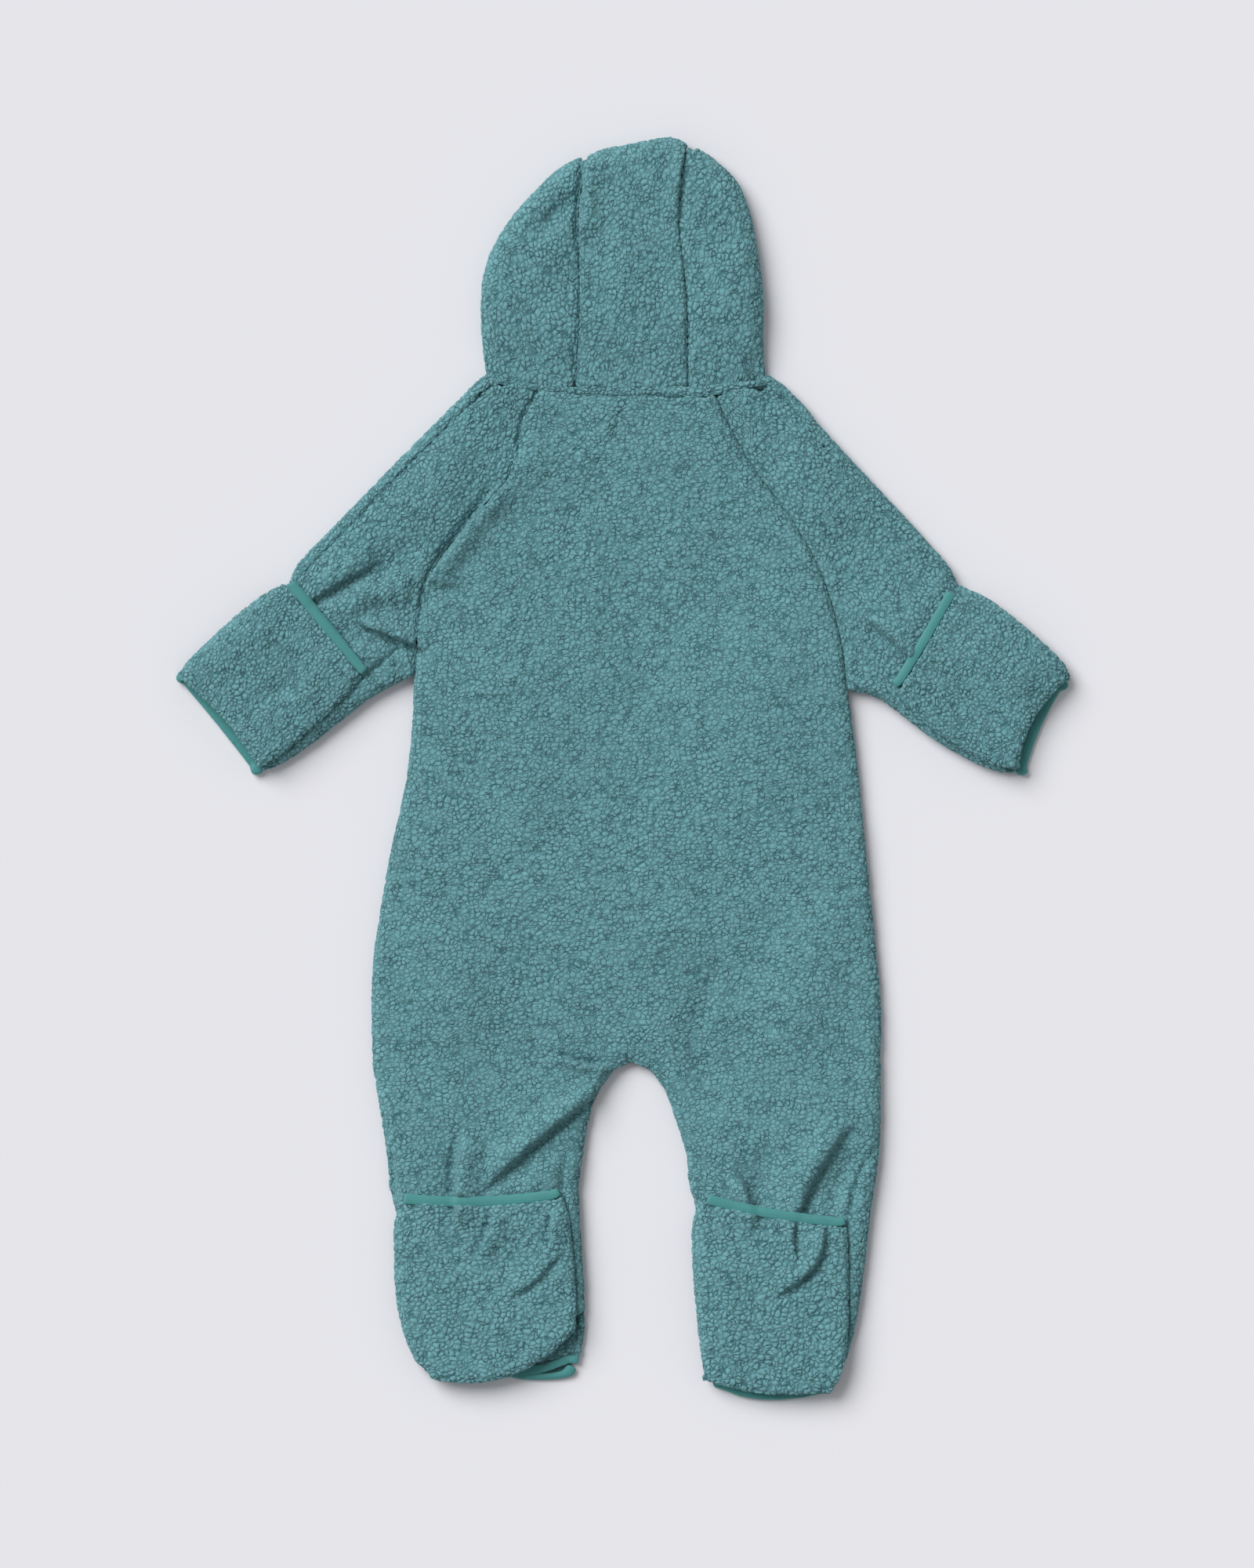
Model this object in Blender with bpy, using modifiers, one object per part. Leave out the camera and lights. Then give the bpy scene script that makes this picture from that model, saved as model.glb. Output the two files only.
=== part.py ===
"""A baby's fleece onesie with a hood, fold-over mittens and fold-over booties.

It lies flat on its front with its back up. The hood points to +Y, and the
garment rests on z = 0. Sizes here are in millimetres until the last step,
which writes metres. Each piece is a grid ruled between two seam or outline
curves, lifted to the height of its layer, with Solidify for the cloth.
"""

from collections import namedtuple

import bmesh
import bpy
import numpy as np

NAME = "fleece_onesie"
MM = 0.001

# Cloth and layers, in mm
WALL = 3.8
FLAP_WALL = 3.4
TAPE_WALL = 1.2
SEAM_GAP = 0.3
LAYER_GAP = 0.5
SEAM_HEIGHT = 5.0
BODY_TOP = 11.2
HOOD_TOP = 16.5
HOOD_SEAM_HEIGHT = 7.5
ROUND_TOP = 8.0
ROUND_UNDER = 6.0
HOOD_ROUND = 12.0
BINDING_WIDTH = 6.3
FLAP_TOP = BODY_TOP + LAYER_GAP + FLAP_WALL
FOLD_UNDER = FLAP_TOP - 2 * FLAP_WALL - 0.8
FOLD_ROUND = 4.2
FOLD_TUCK = 5.2
FLAP_EDGE_DROP = 2.6
COVER = FLAP_WALL + SEAM_GAP + 0.6
SLEEVE_SEAM_IN = 7.0
ZIP_WIDTH = 9.0
ZIP_TOP_Y = 240.0
ZIP_BOTTOM_Y = -150.0

# Columns to an edge: how far in each lies, in mm
EDGE_STEPS = (1.4, 4.4)
LIP = 0.02
RIM_HEIGHT = 1.3
LIP_INSIDE = 1.1

# Colours, linear RGB
FLEECE = (0.105, 0.255, 0.278)
BINDING = (0.062, 0.262, 0.252)
ZIP_TAPE = (0.055, 0.235, 0.228)
METAL = (0.55, 0.56, 0.57)

# Curves of the outline and the seams. Columns: x, y in mm, a row for each point.
CURVES = {
    "raglan_left": [(-53.8, 242.0), (-66.2, 221.5), (-70.8, 191.0), (-99.8, 158.0),
                    (-125.8, 124.0), (-131.0, 96.5), (-133.3, 61.5)],
    "raglan_right": [(57.2, 237.6), (69.8, 213.5), (83.2, 190.5), (102.2, 166.0),
                     (119.8, 137.0), (131.2, 108.5), (138.8, 76.0), (141.8, 51.0)],
    "side_left": [(-133.3, 61.5), (-134.2, 34.0), (-138.2, -6.0), (-147.8, -48.5),
                  (-154.8, -88.5), (-159.8, -123.5), (-160.4, -184.5)],
    "side_right": [(141.8, 51.0), (146.8, 14.0), (151.2, -28.5), (155.8, -73.5),
                   (160.2, -116.0), (163.2, -153.5), (163.0, -184.5)],
    "thigh_left": [(-160.4, -184.5), (-155.5, -214.0), (-150.2, -248.5), (-147.8, -272.0)],
    "thigh_right": [(163.0, -184.5), (162.2, -241.0), (156.5, -280.0)],
    "inseam_left": [(4.8, -184.5), (-4.8, -188.5), (-14.2, -199.5), (-22.2, -217.5),
                    (-26.2, -239.5), (-29.8, -266.0)],
    "inseam_right": [(4.8, -184.5), (14.8, -188.5), (25.2, -200.5), (32.8, -221.0),
                     (40.8, -246.0), (43.2, -272.0)],
    "calf_left": [(-147.8, -272.0), (-146.2, -303.5), (-145.8, -328.5), (-140.2, -358.5),
                  (-127.0, -388.0)],
    "calf_right": [(156.5, -280.0), (152.8, -313.5), (148.2, -346.0), (141.8, -373.5),
                   (131.0, -397.0)],
    "shin_left": [(-29.8, -266.0), (-28.2, -296.0), (-25.8, -333.5), (-26.2, -363.5),
                  (-30.5, -380.0)],
    "shin_right": [(43.2, -272.0), (43.8, -313.5), (46.8, -348.5), (49.8, -376.0),
                   (53.2, -392.0)],
    "overarm_left": [(-86.0, 251.5), (-99.8, 241.5), (-120.2, 221.5), (-150.2, 191.5),
                     (-179.2, 161.5), (-205.8, 134.5), (-217.5, 121.0)],
    "overarm_right": [(93.0, 249.0), (107.8, 240.0), (123.2, 221.5), (150.8, 191.5),
                      (179.2, 161.5), (200.8, 137.5), (216.0, 120.5)],
    "cuff_top_left": [(-217.5, 121.0), (-243.8, 101.5), (-265.8, 81.5), (-280.2, 67.5),
                      (-286.2, 56.5)],
    "cuff_top_right": [(216.0, 120.5), (242.8, 101.5), (266.8, 81.5), (281.8, 66.0),
                       (286.6, 55.5)],
    "underarm_left": [(-133.3, 61.5), (-147.0, 55.5), (-163.5, 46.0)],
    "underarm_right": [(141.8, 51.0), (157.8, 49.5), (173.2, 39.0)],
    "cuff_low_left": [(-163.5, 46.0), (-182.2, 31.5), (-207.8, 11.5), (-225.8, 1.5),
                      (-236.5, -2.0)],
    "cuff_low_right": [(173.2, 39.0), (196.2, 21.5), (219.2, 8.0), (239.2, -0.5),
                       (256.0, -1.8)],
    "hood_left": [(-86.6, 253.5), (-90.2, 271.5), (-91.2, 294.0), (-89.0, 319.0),
                  (-79.8, 340.5), (-62.2, 363.5), (-40.0, 385.0), (-28.6, 391.6)],
    "hood_right": [(89.8, 252.5), (87.8, 271.5), (88.8, 294.0), (86.2, 321.5),
                   (81.8, 346.5), (74.2, 371.5), (60.0, 387.5), (45.0, 397.6)],
    "hood_seam_left": [(-31.8, 246.2), (-29.2, 271.0), (-28.2, 294.0), (-28.8, 324.5),
                       (-29.2, 360.0), (-26.2, 376.5), (-24.6, 390.6)],
    "hood_seam_right": [(40.8, 246.2), (40.2, 294.0), (37.8, 321.5), (35.2, 343.0),
                        (35.0, 358.5), (37.2, 381.5), (40.8, 399.0)],
    "hood_top": [(-28.6, 391.6), (-24.6, 390.6), (-22.0, 394.0), (-11.2, 396.5), (11.8, 401.0),
                 (28.8, 403.8), (36.5, 402.8), (40.8, 399.4), (45.0, 397.6)],
    "face_left": [(-4.5, 247.0), (-22.0, 253.0), (-38.0, 264.0), (-45.0, 287.0),
                  (-45.5, 318.0), (-39.0, 339.0), (-27.0, 350.0)],
    "face_top": [(-27.0, 350.0), (-12.0, 353.5), (6.0, 354.5), (24.0, 353.5), (38.5, 350.0)],
    "face_right": [(8.5, 247.0), (27.0, 253.0), (43.0, 264.0), (49.5, 287.0),
                   (50.0, 318.0), (47.0, 339.0), (38.5, 350.0)],
    "mitten_low_left": [(-166.8, 60.5), (-177.8, 48.0), (-191.2, 34.5), (-204.8, 22.5),
                        (-217.8, 11.5), (-232.6, 1.4)],
    "mitten_low_right": [(173.2, 51.5), (184.0, 36.8), (202.0, 22.6), (213.8, 15.2),
                         (226.0, 8.4), (240.0, 2.6), (252.4, 0.6)],
    "bootie_in_left": [(-39.4, -270.5), (-35.2, -283.5), (-33.2, -303.5), (-31.4, -325.0),
                       (-30.6, -343.5), (-31.4, -357.0)],
    "bootie_in_right": [(141.8, -289.5), (142.6, -332.0), (142.2, -353.0), (140.6, -374.0),
                        (137.0, -387.5), (130.0, -397.0)],
    "neck_up": [(-80.0, 250.4), (-65.0, 247.9), (-48.8, 246.2), (-25.8, 245.6), (7.2, 245.6),
                (40.2, 245.8), (62.0, 246.6), (84.0, 248.6)],
    "neck_low": [(-80.0, 245.6), (-65.0, 243.4), (-50.8, 241.6), (-33.2, 239.6), (-8.8, 237.8),
                 (40.2, 237.8), (57.5, 238.8), (72.0, 241.2), (84.0, 243.6)],
}
# Outlines that a flap lies round, each with the one before it and a point on the inner side.
Cover = namedtuple("Cover", "before inside")
COVERS = {
    "cuff_top_left": Cover("overarm_left", (-170.0, 60.0)),
    "cuff_top_right": Cover("overarm_right", (170.0, 60.0)),
    "calf_left": Cover("thigh_left", (-80.0, -300.0)),
    "shin_right": Cover("inseam_right", (100.0, -300.0)),
}
OUTLINES = ("side_left", "side_right", "thigh_left", "thigh_right", "inseam_left",
            "inseam_right", "calf_left", "calf_right", "shin_left", "shin_right",
            "overarm_left", "overarm_right", "cuff_top_left", "cuff_top_right",
            "underarm_left", "underarm_right", "cuff_low_left", "cuff_low_right",
            "hood_left", "hood_right", "hood_top")

# The largest folds. height is up from the cloth in mm, and below 0 for a trough.
Fold = namedtuple("Fold", "name layer x0 y0 x1 y1 width height")
FOLDS = (
    Fold("left_knee_crease", "body", -17.0, -212.0, -92.0, -270.0, 7.0, -2.6),
    Fold("left_knee_roll", "body", -30.0, -202.0, -100.0, -254.0, 9.0, 2.0),
    Fold("left_thigh_valley", "body", -114.0, -236.0, -115.0, -276.0, 8.0, -2.0),
    Fold("right_knee_roll", "body", 93.0, -277.0, 127.0, -222.0, 10.0, 2.2),
    Fold("right_knee_valley", "body", 123.0, -281.0, 146.0, -243.0, 9.0, -2.4),
    Fold("left_elbow_roll", "body", -186.0, 102.0, -143.0, 116.0, 9.0, 1.8),
    Fold("left_elbow_hollow", "body", -200.0, 104.0, -184.0, 122.0, 13.0, -2.2),
    Fold("left_armpit_crease", "body", -158.0, 90.0, -134.0, 80.0, 6.0, -2.6),
    Fold("right_elbow_valley", "body", 163.0, 88.0, 182.0, 70.0, 10.0, -1.8),
    Fold("crotch_left", "body", -36.0, -184.0, -12.0, -188.0, 5.0, -2.0),
    Fold("crotch_right", "body", 50.0, -185.0, 68.0, -190.0, 5.0, -2.0),
    Fold("left_mitten_swell", "flap", -236.0, 66.0, -214.0, 44.0, 22.0, 1.2),
    Fold("right_bootie_roll", "flap", 112.0, -288.0, 88.0, -320.0, 9.0, 1.2),
    Fold("right_bootie_swell", "flap", 130.0, -312.0, 106.0, -344.0, 9.0, 1.0),
    Fold("left_bootie_roll", "flap", -62.0, -302.0, -86.0, -330.0, 12.0, 1.1),
    Fold("left_bootie_swell", "flap", -48.0, -334.0, -72.0, -352.0, 10.0, 1.0),
)

# Panels that stand above or below their neighbour at a seam. reach is in mm.
Step = namedtuple("Step", "curve reach drop")
SLEEVE_STEPS = {
    "left": Step("raglan_left", 14.0, 1.7),
    "right": Step("raglan_right", 8.0, 1.2),
}
GROOVE_DEPTH = 1.2
GROOVE_REACH = 2.4
LEAST_TOP = 2 * WALL + 0.6

# Where the outline turns in, or the over-arm seam meets it: the layers part a little there,
# and the cloth is thinner.
CORNERS = {
    "armpit_left": (-133.3, 61.5),
    "armpit_right": (141.8, 51.0),
    "crotch": (4.8, -184.5),
    "overarm_left": (-207.0, 118.0),
    "overarm_right": (205.0, 115.5),
}
CORNER_REACH = 11.0
CORNER_RISE = 1.0
CORNER_THIN = 0.62


# Rows and columns of the grids
SIDES = ("left", "right")
SIGN = {"left": -1.0, "right": 1.0}
RAGLAN_ROWS = 10
SIDE_SHARES = (0.0, 0.09, 0.18, 0.27, 0.36, 0.45, 0.54, 0.63, 0.72, 0.81, 0.89, 0.95, 0.985, 1.0)
THIGH_ROWS = 7
UNDERARM_ROWS = 3
CALF_TAIL = (0.0, 1.0)
TAIL_SHARES = (0.0, 0.2, 0.4, 0.6, 0.8, 0.92, 1.0)
Tail = namedtuple("Tail", "outer inner")
BACK_TAIL = {"left": Tail(0.85, 0.69), "right": Tail(0.87, 0.86)}
FRONT_TAIL = (0.0, 0.2, 0.4, 0.6, 0.8, 0.945, 0.953, 0.977, 1.0)
BINDING_ROWS = 3
BACK_CUFF = (0.0, 0.12, 0.3, 0.5, 0.7, 0.86)
FRONT_CUFF = (0.0, 0.12, 0.3, 0.5, 0.7, 0.925, 0.945, 0.97, 1.0)
BODY_COLUMNS = 6
FRONT_COLUMNS = 4
SLEEVE_COLUMNS = 4
SLEEVE_UNDER_COLUMNS = 3
FLAP_COLUMNS = 5
FLAP_ROWS = 6
HOOD_COLUMNS = 2
HOOD_CENTRE_COLUMNS = 6
HOOD_SHARES = (0.0, 0.08, 0.17, 0.27, 0.37, 0.47, 0.57, 0.67, 0.77, 0.86, 0.93, 0.97, 0.993)
HOOD_FACE_ROWS = 9
HOOD_UNDER_SHARES = (0.03, 0.12, 0.4, 0.7, 1.0)
FACE_ROWS = 9
NECK_ROWS = 14
CENTRE_STEPS = (0.0, 5.0, 10.0, 16.0)
UNDER_STEPS = (1.4, 5.0)
WRAP_STEPS = (SLEEVE_SEAM_IN, 4.2, 1.2)
RIM_FALLS = (0.0, 0.4, 0.7, 1.0)
FLAP_STEPS = (1.4, 4.4)
FLAP_REACH = 150.0
FOLD_ANGLES = (90.0, 55.0, 25.0, 0.0, -35.0, -90.0)
BOW_STRETCH = 70.0

# Ends and corners, in mm
NECK_CENTRE_X = 1.8
CROTCH_X = 4.8
NECK_BACK_Y = 237.2
NECK_FRONT_Y = 245.0
FRONT_NECK_CORNER = {"left": (-51.5, 245.6), "right": (56.0, 245.6)}
BACK_BOW = {"left": 12.0, "right": 4.0}
FRONT_BOW = {"left": 5.0, "right": 7.0}
BACK_CUFF_BOW = {"left": -1.0, "right": -2.0}
FRONT_CUFF_BOW = {"left": -1.0, "right": -3.0}
FLAP_SHORT = {
    "mitten_flap_left": 3.0,
    "mitten_flap_right": 3.0,
    "bootie_flap_left": 2.0,
    "bootie_flap_right": 3.0,
}
FLAP_BINDING_SKIP = {
    "mitten_flap_left": 4,
    "mitten_flap_right": 4,
    "bootie_flap_left": 4,
    "bootie_flap_right": 4,
}
STRIP_FALLS = (0.9, 0.5, 0.1, 0.0, 0.3, 1.0, 1.5)
STRIP_WALL = 2.3
HOOD_UNDER_TIP = {"left": (-26.4, 386.0), "right": (41.6, 394.0)}
HOOD_STEPS = {"left": Step("hood_seam_left", 8.0, 1.6), "right": None}
NECK_DOME = 1.2
ZIP_TAPE_Z = 2.9
SLIDER_SIZE = (6.0, 12.0, 1.6)
SLIDER_Z = 1.2


# ---------------------------------------------------------------- curves
def smooth(points, per_span=24):
    """The points joined by a centripetal Catmull-Rom curve."""
    points = np.array(points, float)
    ends = (2 * points[0] - points[1], 2 * points[-1] - points[-2])
    knots = np.vstack([ends[0], points, ends[1]])
    out = []
    for p0, p1, p2, p3 in zip(knots, knots[1:], knots[2:], knots[3:]):
        t1 = np.linalg.norm(p1 - p0) ** 0.5
        t2 = t1 + np.linalg.norm(p2 - p1) ** 0.5
        t3 = t2 + np.linalg.norm(p3 - p2) ** 0.5
        t = np.linspace(t1, t2, per_span, endpoint=False)[:, None]
        a1 = (t1 - t) / t1 * p0 + t / t1 * p1
        a2 = (t2 - t) / (t2 - t1) * p1 + (t - t1) / (t2 - t1) * p2
        a3 = (t3 - t) / (t3 - t2) * p2 + (t - t2) / (t3 - t2) * p3
        b1 = (t2 - t) / t2 * a1 + t / t2 * a2
        b2 = (t3 - t) / (t3 - t1) * a2 + (t - t1) / (t3 - t1) * a3
        out.append((t2 - t) / (t2 - t1) * b1 + (t - t1) / (t2 - t1) * b2)
    return np.vstack(out + [points[-1:]])


def lengths(points):
    steps = np.linalg.norm(np.diff(points, axis=0), axis=1)
    return np.concatenate([[0.0], np.cumsum(steps)])


def stations(line, shares):
    """Points along a line: this many even spans, or at these shares of its length."""
    if np.isscalar(shares):
        shares = np.linspace(0, 1, shares + 1)
    along = lengths(line)
    places = np.asarray(shares) * along[-1]
    return np.stack([np.interp(places, along, line[:, k]) for k in (0, 1)], axis=1)


def join(*runs):
    """Runs of points end to end, with the shared ends kept once."""
    return np.vstack([runs[0]] + [run[1:] for run in runs[1:]])


def moved_in(points, amounts, towards):
    """The points moved sideways by these amounts, to the side where towards lies."""
    along = np.gradient(points, lengths(points), axis=0)
    along /= np.linalg.norm(along, axis=1)[:, None]
    across = np.stack([-along[:, 1], along[:, 0]], axis=1)
    sides = np.sign(np.sum(across * (np.asarray(towards) - points), axis=1))
    return points + across * (sides * amounts)[:, None]


def distance_to(points, line):
    """How far each point lies from an open line."""
    starts, ends = line[:-1], line[1:]
    along = ends - starts
    span = np.maximum(np.sum(along**2, axis=1), 1e-9)
    shares = np.einsum("pkc,kc->pk", points[:, None] - starts, along) / span
    near = starts + np.clip(shares, 0, 1)[..., None] * along
    return np.linalg.norm(points[:, None] - near, axis=2).min(axis=1)


def ease(value, low, high):
    """0 below low, 1 above high, and smooth between them."""
    share = np.clip((value - low) / (high - low), 0, 1)
    return share * share * (3 - 2 * share)


def lower_line(name):
    """An outline of the lower layers: the whole one, moved in where a flap lies round it."""
    line = smooth(CURVES[name])
    if name in COVERS:
        return moved_in(line, np.full(len(line), COVER), COVERS[name].inside)
    for cover in COVERS.values():
        if cover.before == name:
            along = lengths(line)
            amounts = COVER * ease(along, along[-1] - 16.0, along[-1])
            return moved_in(line, amounts, cover.inside)
    return line


# ---------------------------------------------------------------- heights
def outline_distance(points):
    return np.min([distance_to(points, lower_line(name)) for name in OUTLINES], axis=0)


def hood_share(points):
    """0 on the body and 1 on the hood, past the neck."""
    return ease(points[:, 1], 246.0, 292.0)


def corner_share(points):
    """1 at a corner of the outline, and falling to 0 round it."""
    apart = [np.linalg.norm(points[:, :2] - corner, axis=1) for corner in CORNERS.values()]
    return np.exp(-((np.min(apart, axis=0) / CORNER_REACH) ** 2))


def quarter(distance, reach, span):
    """The share of a quarter ellipse at a distance from the edge, with an upright rim."""
    share = np.sqrt(1 - (1 - np.clip(distance / reach, 0, 1)) ** 2)
    upright = np.minimum(distance / LIP, 1) * RIM_HEIGHT / span
    return np.maximum(share, np.minimum(upright, 1))


def rounded(distance, reach, low, high):
    """A quarter ellipse from low at the edge to high at reach and past it."""
    return low + (high - low) * quarter(distance, reach, np.abs(high - low))


def before_flaps(points):
    """1 on the body and 0 under the flaps, with a short ease before their open edges."""
    share = np.ones(len(points))
    for flap in FLAPS:
        start, end = CURVES[flap.outer][0], CURVES[flap.inset][0]
        middle = (np.array(start) + end) / 2
        across_leg = np.array([start[1] - end[1], end[0] - start[0]])
        across_leg /= np.linalg.norm(across_leg)
        if (CURVES[flap.outer][-1] - middle) @ across_leg > 0:
            across_leg = -across_leg
        ahead = (points - middle) @ across_leg
        near = np.linalg.norm(points - middle, axis=1) < FLAP_REACH
        share = np.where(near, np.minimum(share, ease(ahead, 9.0, 22.0)), share)
    return share


def relief(points, layer):
    """The large folds of a layer."""
    rise = np.zeros(len(points))
    for fold in FOLDS:
        if fold.layer != layer:
            continue
        line = np.array([(fold.x0, fold.y0), (fold.x1, fold.y1)])
        rise += fold.height * np.exp(-((distance_to(points, line) / fold.width) ** 2))
    return rise


def groove(points, line, depth, reach):
    return depth * np.exp(-((distance_to(points, line) / reach) ** 2))


def upper_height(points, grooves=(), step=None):
    """The outer face of the upper layer of body, sleeve or hood."""
    hood = hood_share(points)
    distance = outline_distance(points)
    low = SEAM_HEIGHT + (HOOD_SEAM_HEIGHT - SEAM_HEIGHT) * hood + SEAM_GAP / 2
    low += CORNER_RISE * corner_share(points)
    high = BODY_TOP + (HOOD_TOP - BODY_TOP) * hood
    reach = ROUND_TOP + (HOOD_ROUND - ROUND_TOP) * hood
    settle = ease(distance, 1.0, 12.0)
    height = rounded(distance, reach, low, high)
    height += relief(points, "body") * settle * before_flaps(points)
    for line in grooves:
        height -= groove(points, line, GROOVE_DEPTH, GROOVE_REACH) * settle
    if step:
        height -= groove(points, smooth(CURVES[step.curve]), step.drop, step.reach) * settle
    return np.maximum(height, rounded(distance, reach, low, LEAST_TOP + hood))


def under_height(points):
    """The outer face of the lower layer: flat on the ground, and up at the outline."""
    hood = hood_share(points)
    low = SEAM_HEIGHT + (HOOD_SEAM_HEIGHT - SEAM_HEIGHT) * hood - SEAM_GAP / 2
    low -= CORNER_RISE * corner_share(points)
    return rounded(outline_distance(points), ROUND_UNDER + 2.0 * hood, low, 0.0)


# ---------------------------------------------------------------- grids
def edge_columns(points, towards, steps=EDGE_STEPS, seam_rim=SEAM_GAP * 0.7):
    """Columns along an edge: its rim, its lip and the steps in from it, towards the far edge."""
    outline = outline_distance(points) < 0.6
    width = np.linalg.norm(towards - points, axis=1)
    rim = np.where(outline, 0.0, seam_rim)
    lip = np.where(outline, LIP, LIP_INSIDE)
    offsets = [rim, lip] + [np.where(outline, step, step + 1.5) for step in steps]
    return [
        moved_in(points, np.minimum(offset, width * 0.1 * k), towards)
        for k, offset in enumerate(offsets)
    ]


def between(first, last, count):
    """Columns spaced evenly between two others."""
    return [first + (last - first) * k / (count + 1) for k in range(1, count + 1)]


def lifted(columns, height):
    """The grid of the columns, each point at its height."""
    rows = np.stack(columns, axis=1)
    flat = rows.reshape(-1, 2)
    return np.concatenate([flat, height(flat)[:, None]], axis=1).reshape(*rows.shape[:2], 3)


# ---------------------------------------------------------------- objects
def clear_scene():
    for obj in list(bpy.data.objects):
        bpy.data.objects.remove(obj, do_unlink=True)


def material(name, colour, roughness, metallic=0.0):
    made = bpy.data.materials.new(name)
    made.use_nodes = True
    shader = made.node_tree.nodes["Principled BSDF"]
    shader.inputs["Base Color"].default_value = (*colour, 1.0)
    shader.inputs["Roughness"].default_value = roughness
    shader.inputs["Metallic"].default_value = metallic
    made.diffuse_color = (*colour, 1.0)
    return made


def grid_mesh(bm, grid):
    """A grid with its points at the given places."""
    rows, columns = grid.shape[:2]
    made = bmesh.ops.create_grid(bm, x_segments=columns - 1, y_segments=rows - 1, size=0.5)
    for vert in made["verts"]:
        column = round((vert.co.x + 0.5) * (columns - 1))
        row = round((vert.co.y + 0.5) * (rows - 1))
        vert.co = grid[row, column] * MM


def faces_out(bm, upper):
    """Turns the sheet to the side that shows: up for an upper layer, else down."""
    bmesh.ops.recalc_face_normals(bm, faces=bm.faces[:])
    rise = sum(face.normal.z * face.calc_area() for face in bm.faces)
    if (rise > 0) != upper:
        bmesh.ops.reverse_faces(bm, faces=bm.faces[:])


def cloth(name, grids, look, upper=True, wall=WALL, thinned=None):
    """One cut piece: its grids welded where they meet, then given the cloth's thickness.

    thinned holds a share of the thickness for each row of a single grid."""
    shares = np.ones(1) if thinned is None else np.repeat(thinned, grids[0].shape[1])
    bm = bmesh.new()
    for grid in grids:
        grid_mesh(bm, grid)
    if len(grids) > 1:
        bmesh.ops.remove_doubles(bm, verts=bm.verts[:], dist=0.000002)
    faces_out(bm, upper)
    mesh = bpy.data.meshes.new(name)
    bm.to_mesh(mesh)
    bm.free()
    obj = bpy.data.objects.new(name, mesh)
    obj.data.materials.append(look)
    obj.data.shade_smooth()
    solid = obj.modifiers.new("Cloth", "SOLIDIFY")
    solid.thickness = wall * MM
    solid.offset = -1.0
    points = np.array([vert.co[:] for vert in mesh.vertices]) / MM
    group = obj.vertex_groups.new(name="Thickness")
    for vert, share in enumerate(shares * (1 - CORNER_THIN * corner_share(points))):
        group.add([vert], float(share), "REPLACE")
    solid.vertex_group = group.name
    return obj


# ---------------------------------------------------------------- rows
def outer_ends(side, tail):
    """The outer edge of half the body, row by row, to where the piece ends on the leg."""
    return join(
        stations(smooth(CURVES["raglan_" + side]), RAGLAN_ROWS),
        stations(lower_line("side_" + side), SIDE_SHARES),
        stations(lower_line("thigh_" + side), THIGH_ROWS),
        stations(lower_line("calf_" + side), tail),
    )


def inner_leg(side, tail):
    return join(
        stations(lower_line("inseam_" + side), THIGH_ROWS),
        stations(lower_line("shin_" + side), tail),
    )


def centre_rows(neck_y):
    """The centre of the back or front, level with the mean of the left and right rows."""
    count = RAGLAN_ROWS + len(SIDE_SHARES)
    y = np.mean([outer_ends(side, CALF_TAIL)[:count, 1] for side in SIDES], axis=0)
    y += (neck_y - y[0]) * np.clip(1 - np.arange(count) / 4, 0, 1)
    return np.stack([np.linspace(NECK_CENTRE_X, CROTCH_X, count), y], axis=1)


def bowed(columns, bows):
    """The rows bowed ahead by these amounts at their middles, towards the next row."""
    first, last = columns[0].copy(), columns[-1].copy()
    chord = last - first
    width = np.linalg.norm(chord, axis=1)
    ahead = (first[-1] + last[-1] - first[0] - last[0]) / 2
    side = np.stack([-chord[:, 1], chord[:, 0]], axis=1) / width[:, None]
    side *= np.sign(side @ ahead)[:, None]
    out = []
    for column in columns:
        share = np.sum((column - first) * chord, axis=1) / width**2
        out.append(column + side * (bows * 4 * share * (1 - share))[:, None])
    return out


def late(first, last, amount):
    """An amount for each row: 0 until the last stretch, then rising to the whole of it."""
    along = lengths((first + last) / 2)
    return amount * ease(along, along[-1] - BOW_STRETCH, along[-1])


# ---------------------------------------------------------------- body
def back_half(side):
    """Half the back and the back of its leg. Above the crotch it meets the centre line."""
    centre = centre_rows(NECK_BACK_Y)
    outer = outer_ends(side, np.multiply(TAIL_SHARES, BACK_TAIL[side].outer))
    inner = join(centre, inner_leg(side, np.multiply(TAIL_SHARES, BACK_TAIL[side].inner)))
    low = edge_columns(outer, inner)
    high = edge_columns(inner, outer, seam_rim=0.0)
    above = len(centre) - 1
    chord = outer - inner
    chord /= np.linalg.norm(chord, axis=1)[:, None]
    for column, reach in zip(high, CENTRE_STEPS):
        column[:above] = (inner + chord * reach)[:above]
    columns = low + between(low[-1], high[-1], BODY_COLUMNS) + high[::-1]
    columns = bowed(columns, late(outer, inner, BACK_BOW[side]))
    seams = [smooth(CURVES["raglan_" + each]) for each in SIDES]
    return lifted(columns, lambda points: upper_height(points, seams))


def build_back(look):
    return [cloth("back", [back_half(side) for side in SIDES], look)]


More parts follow.
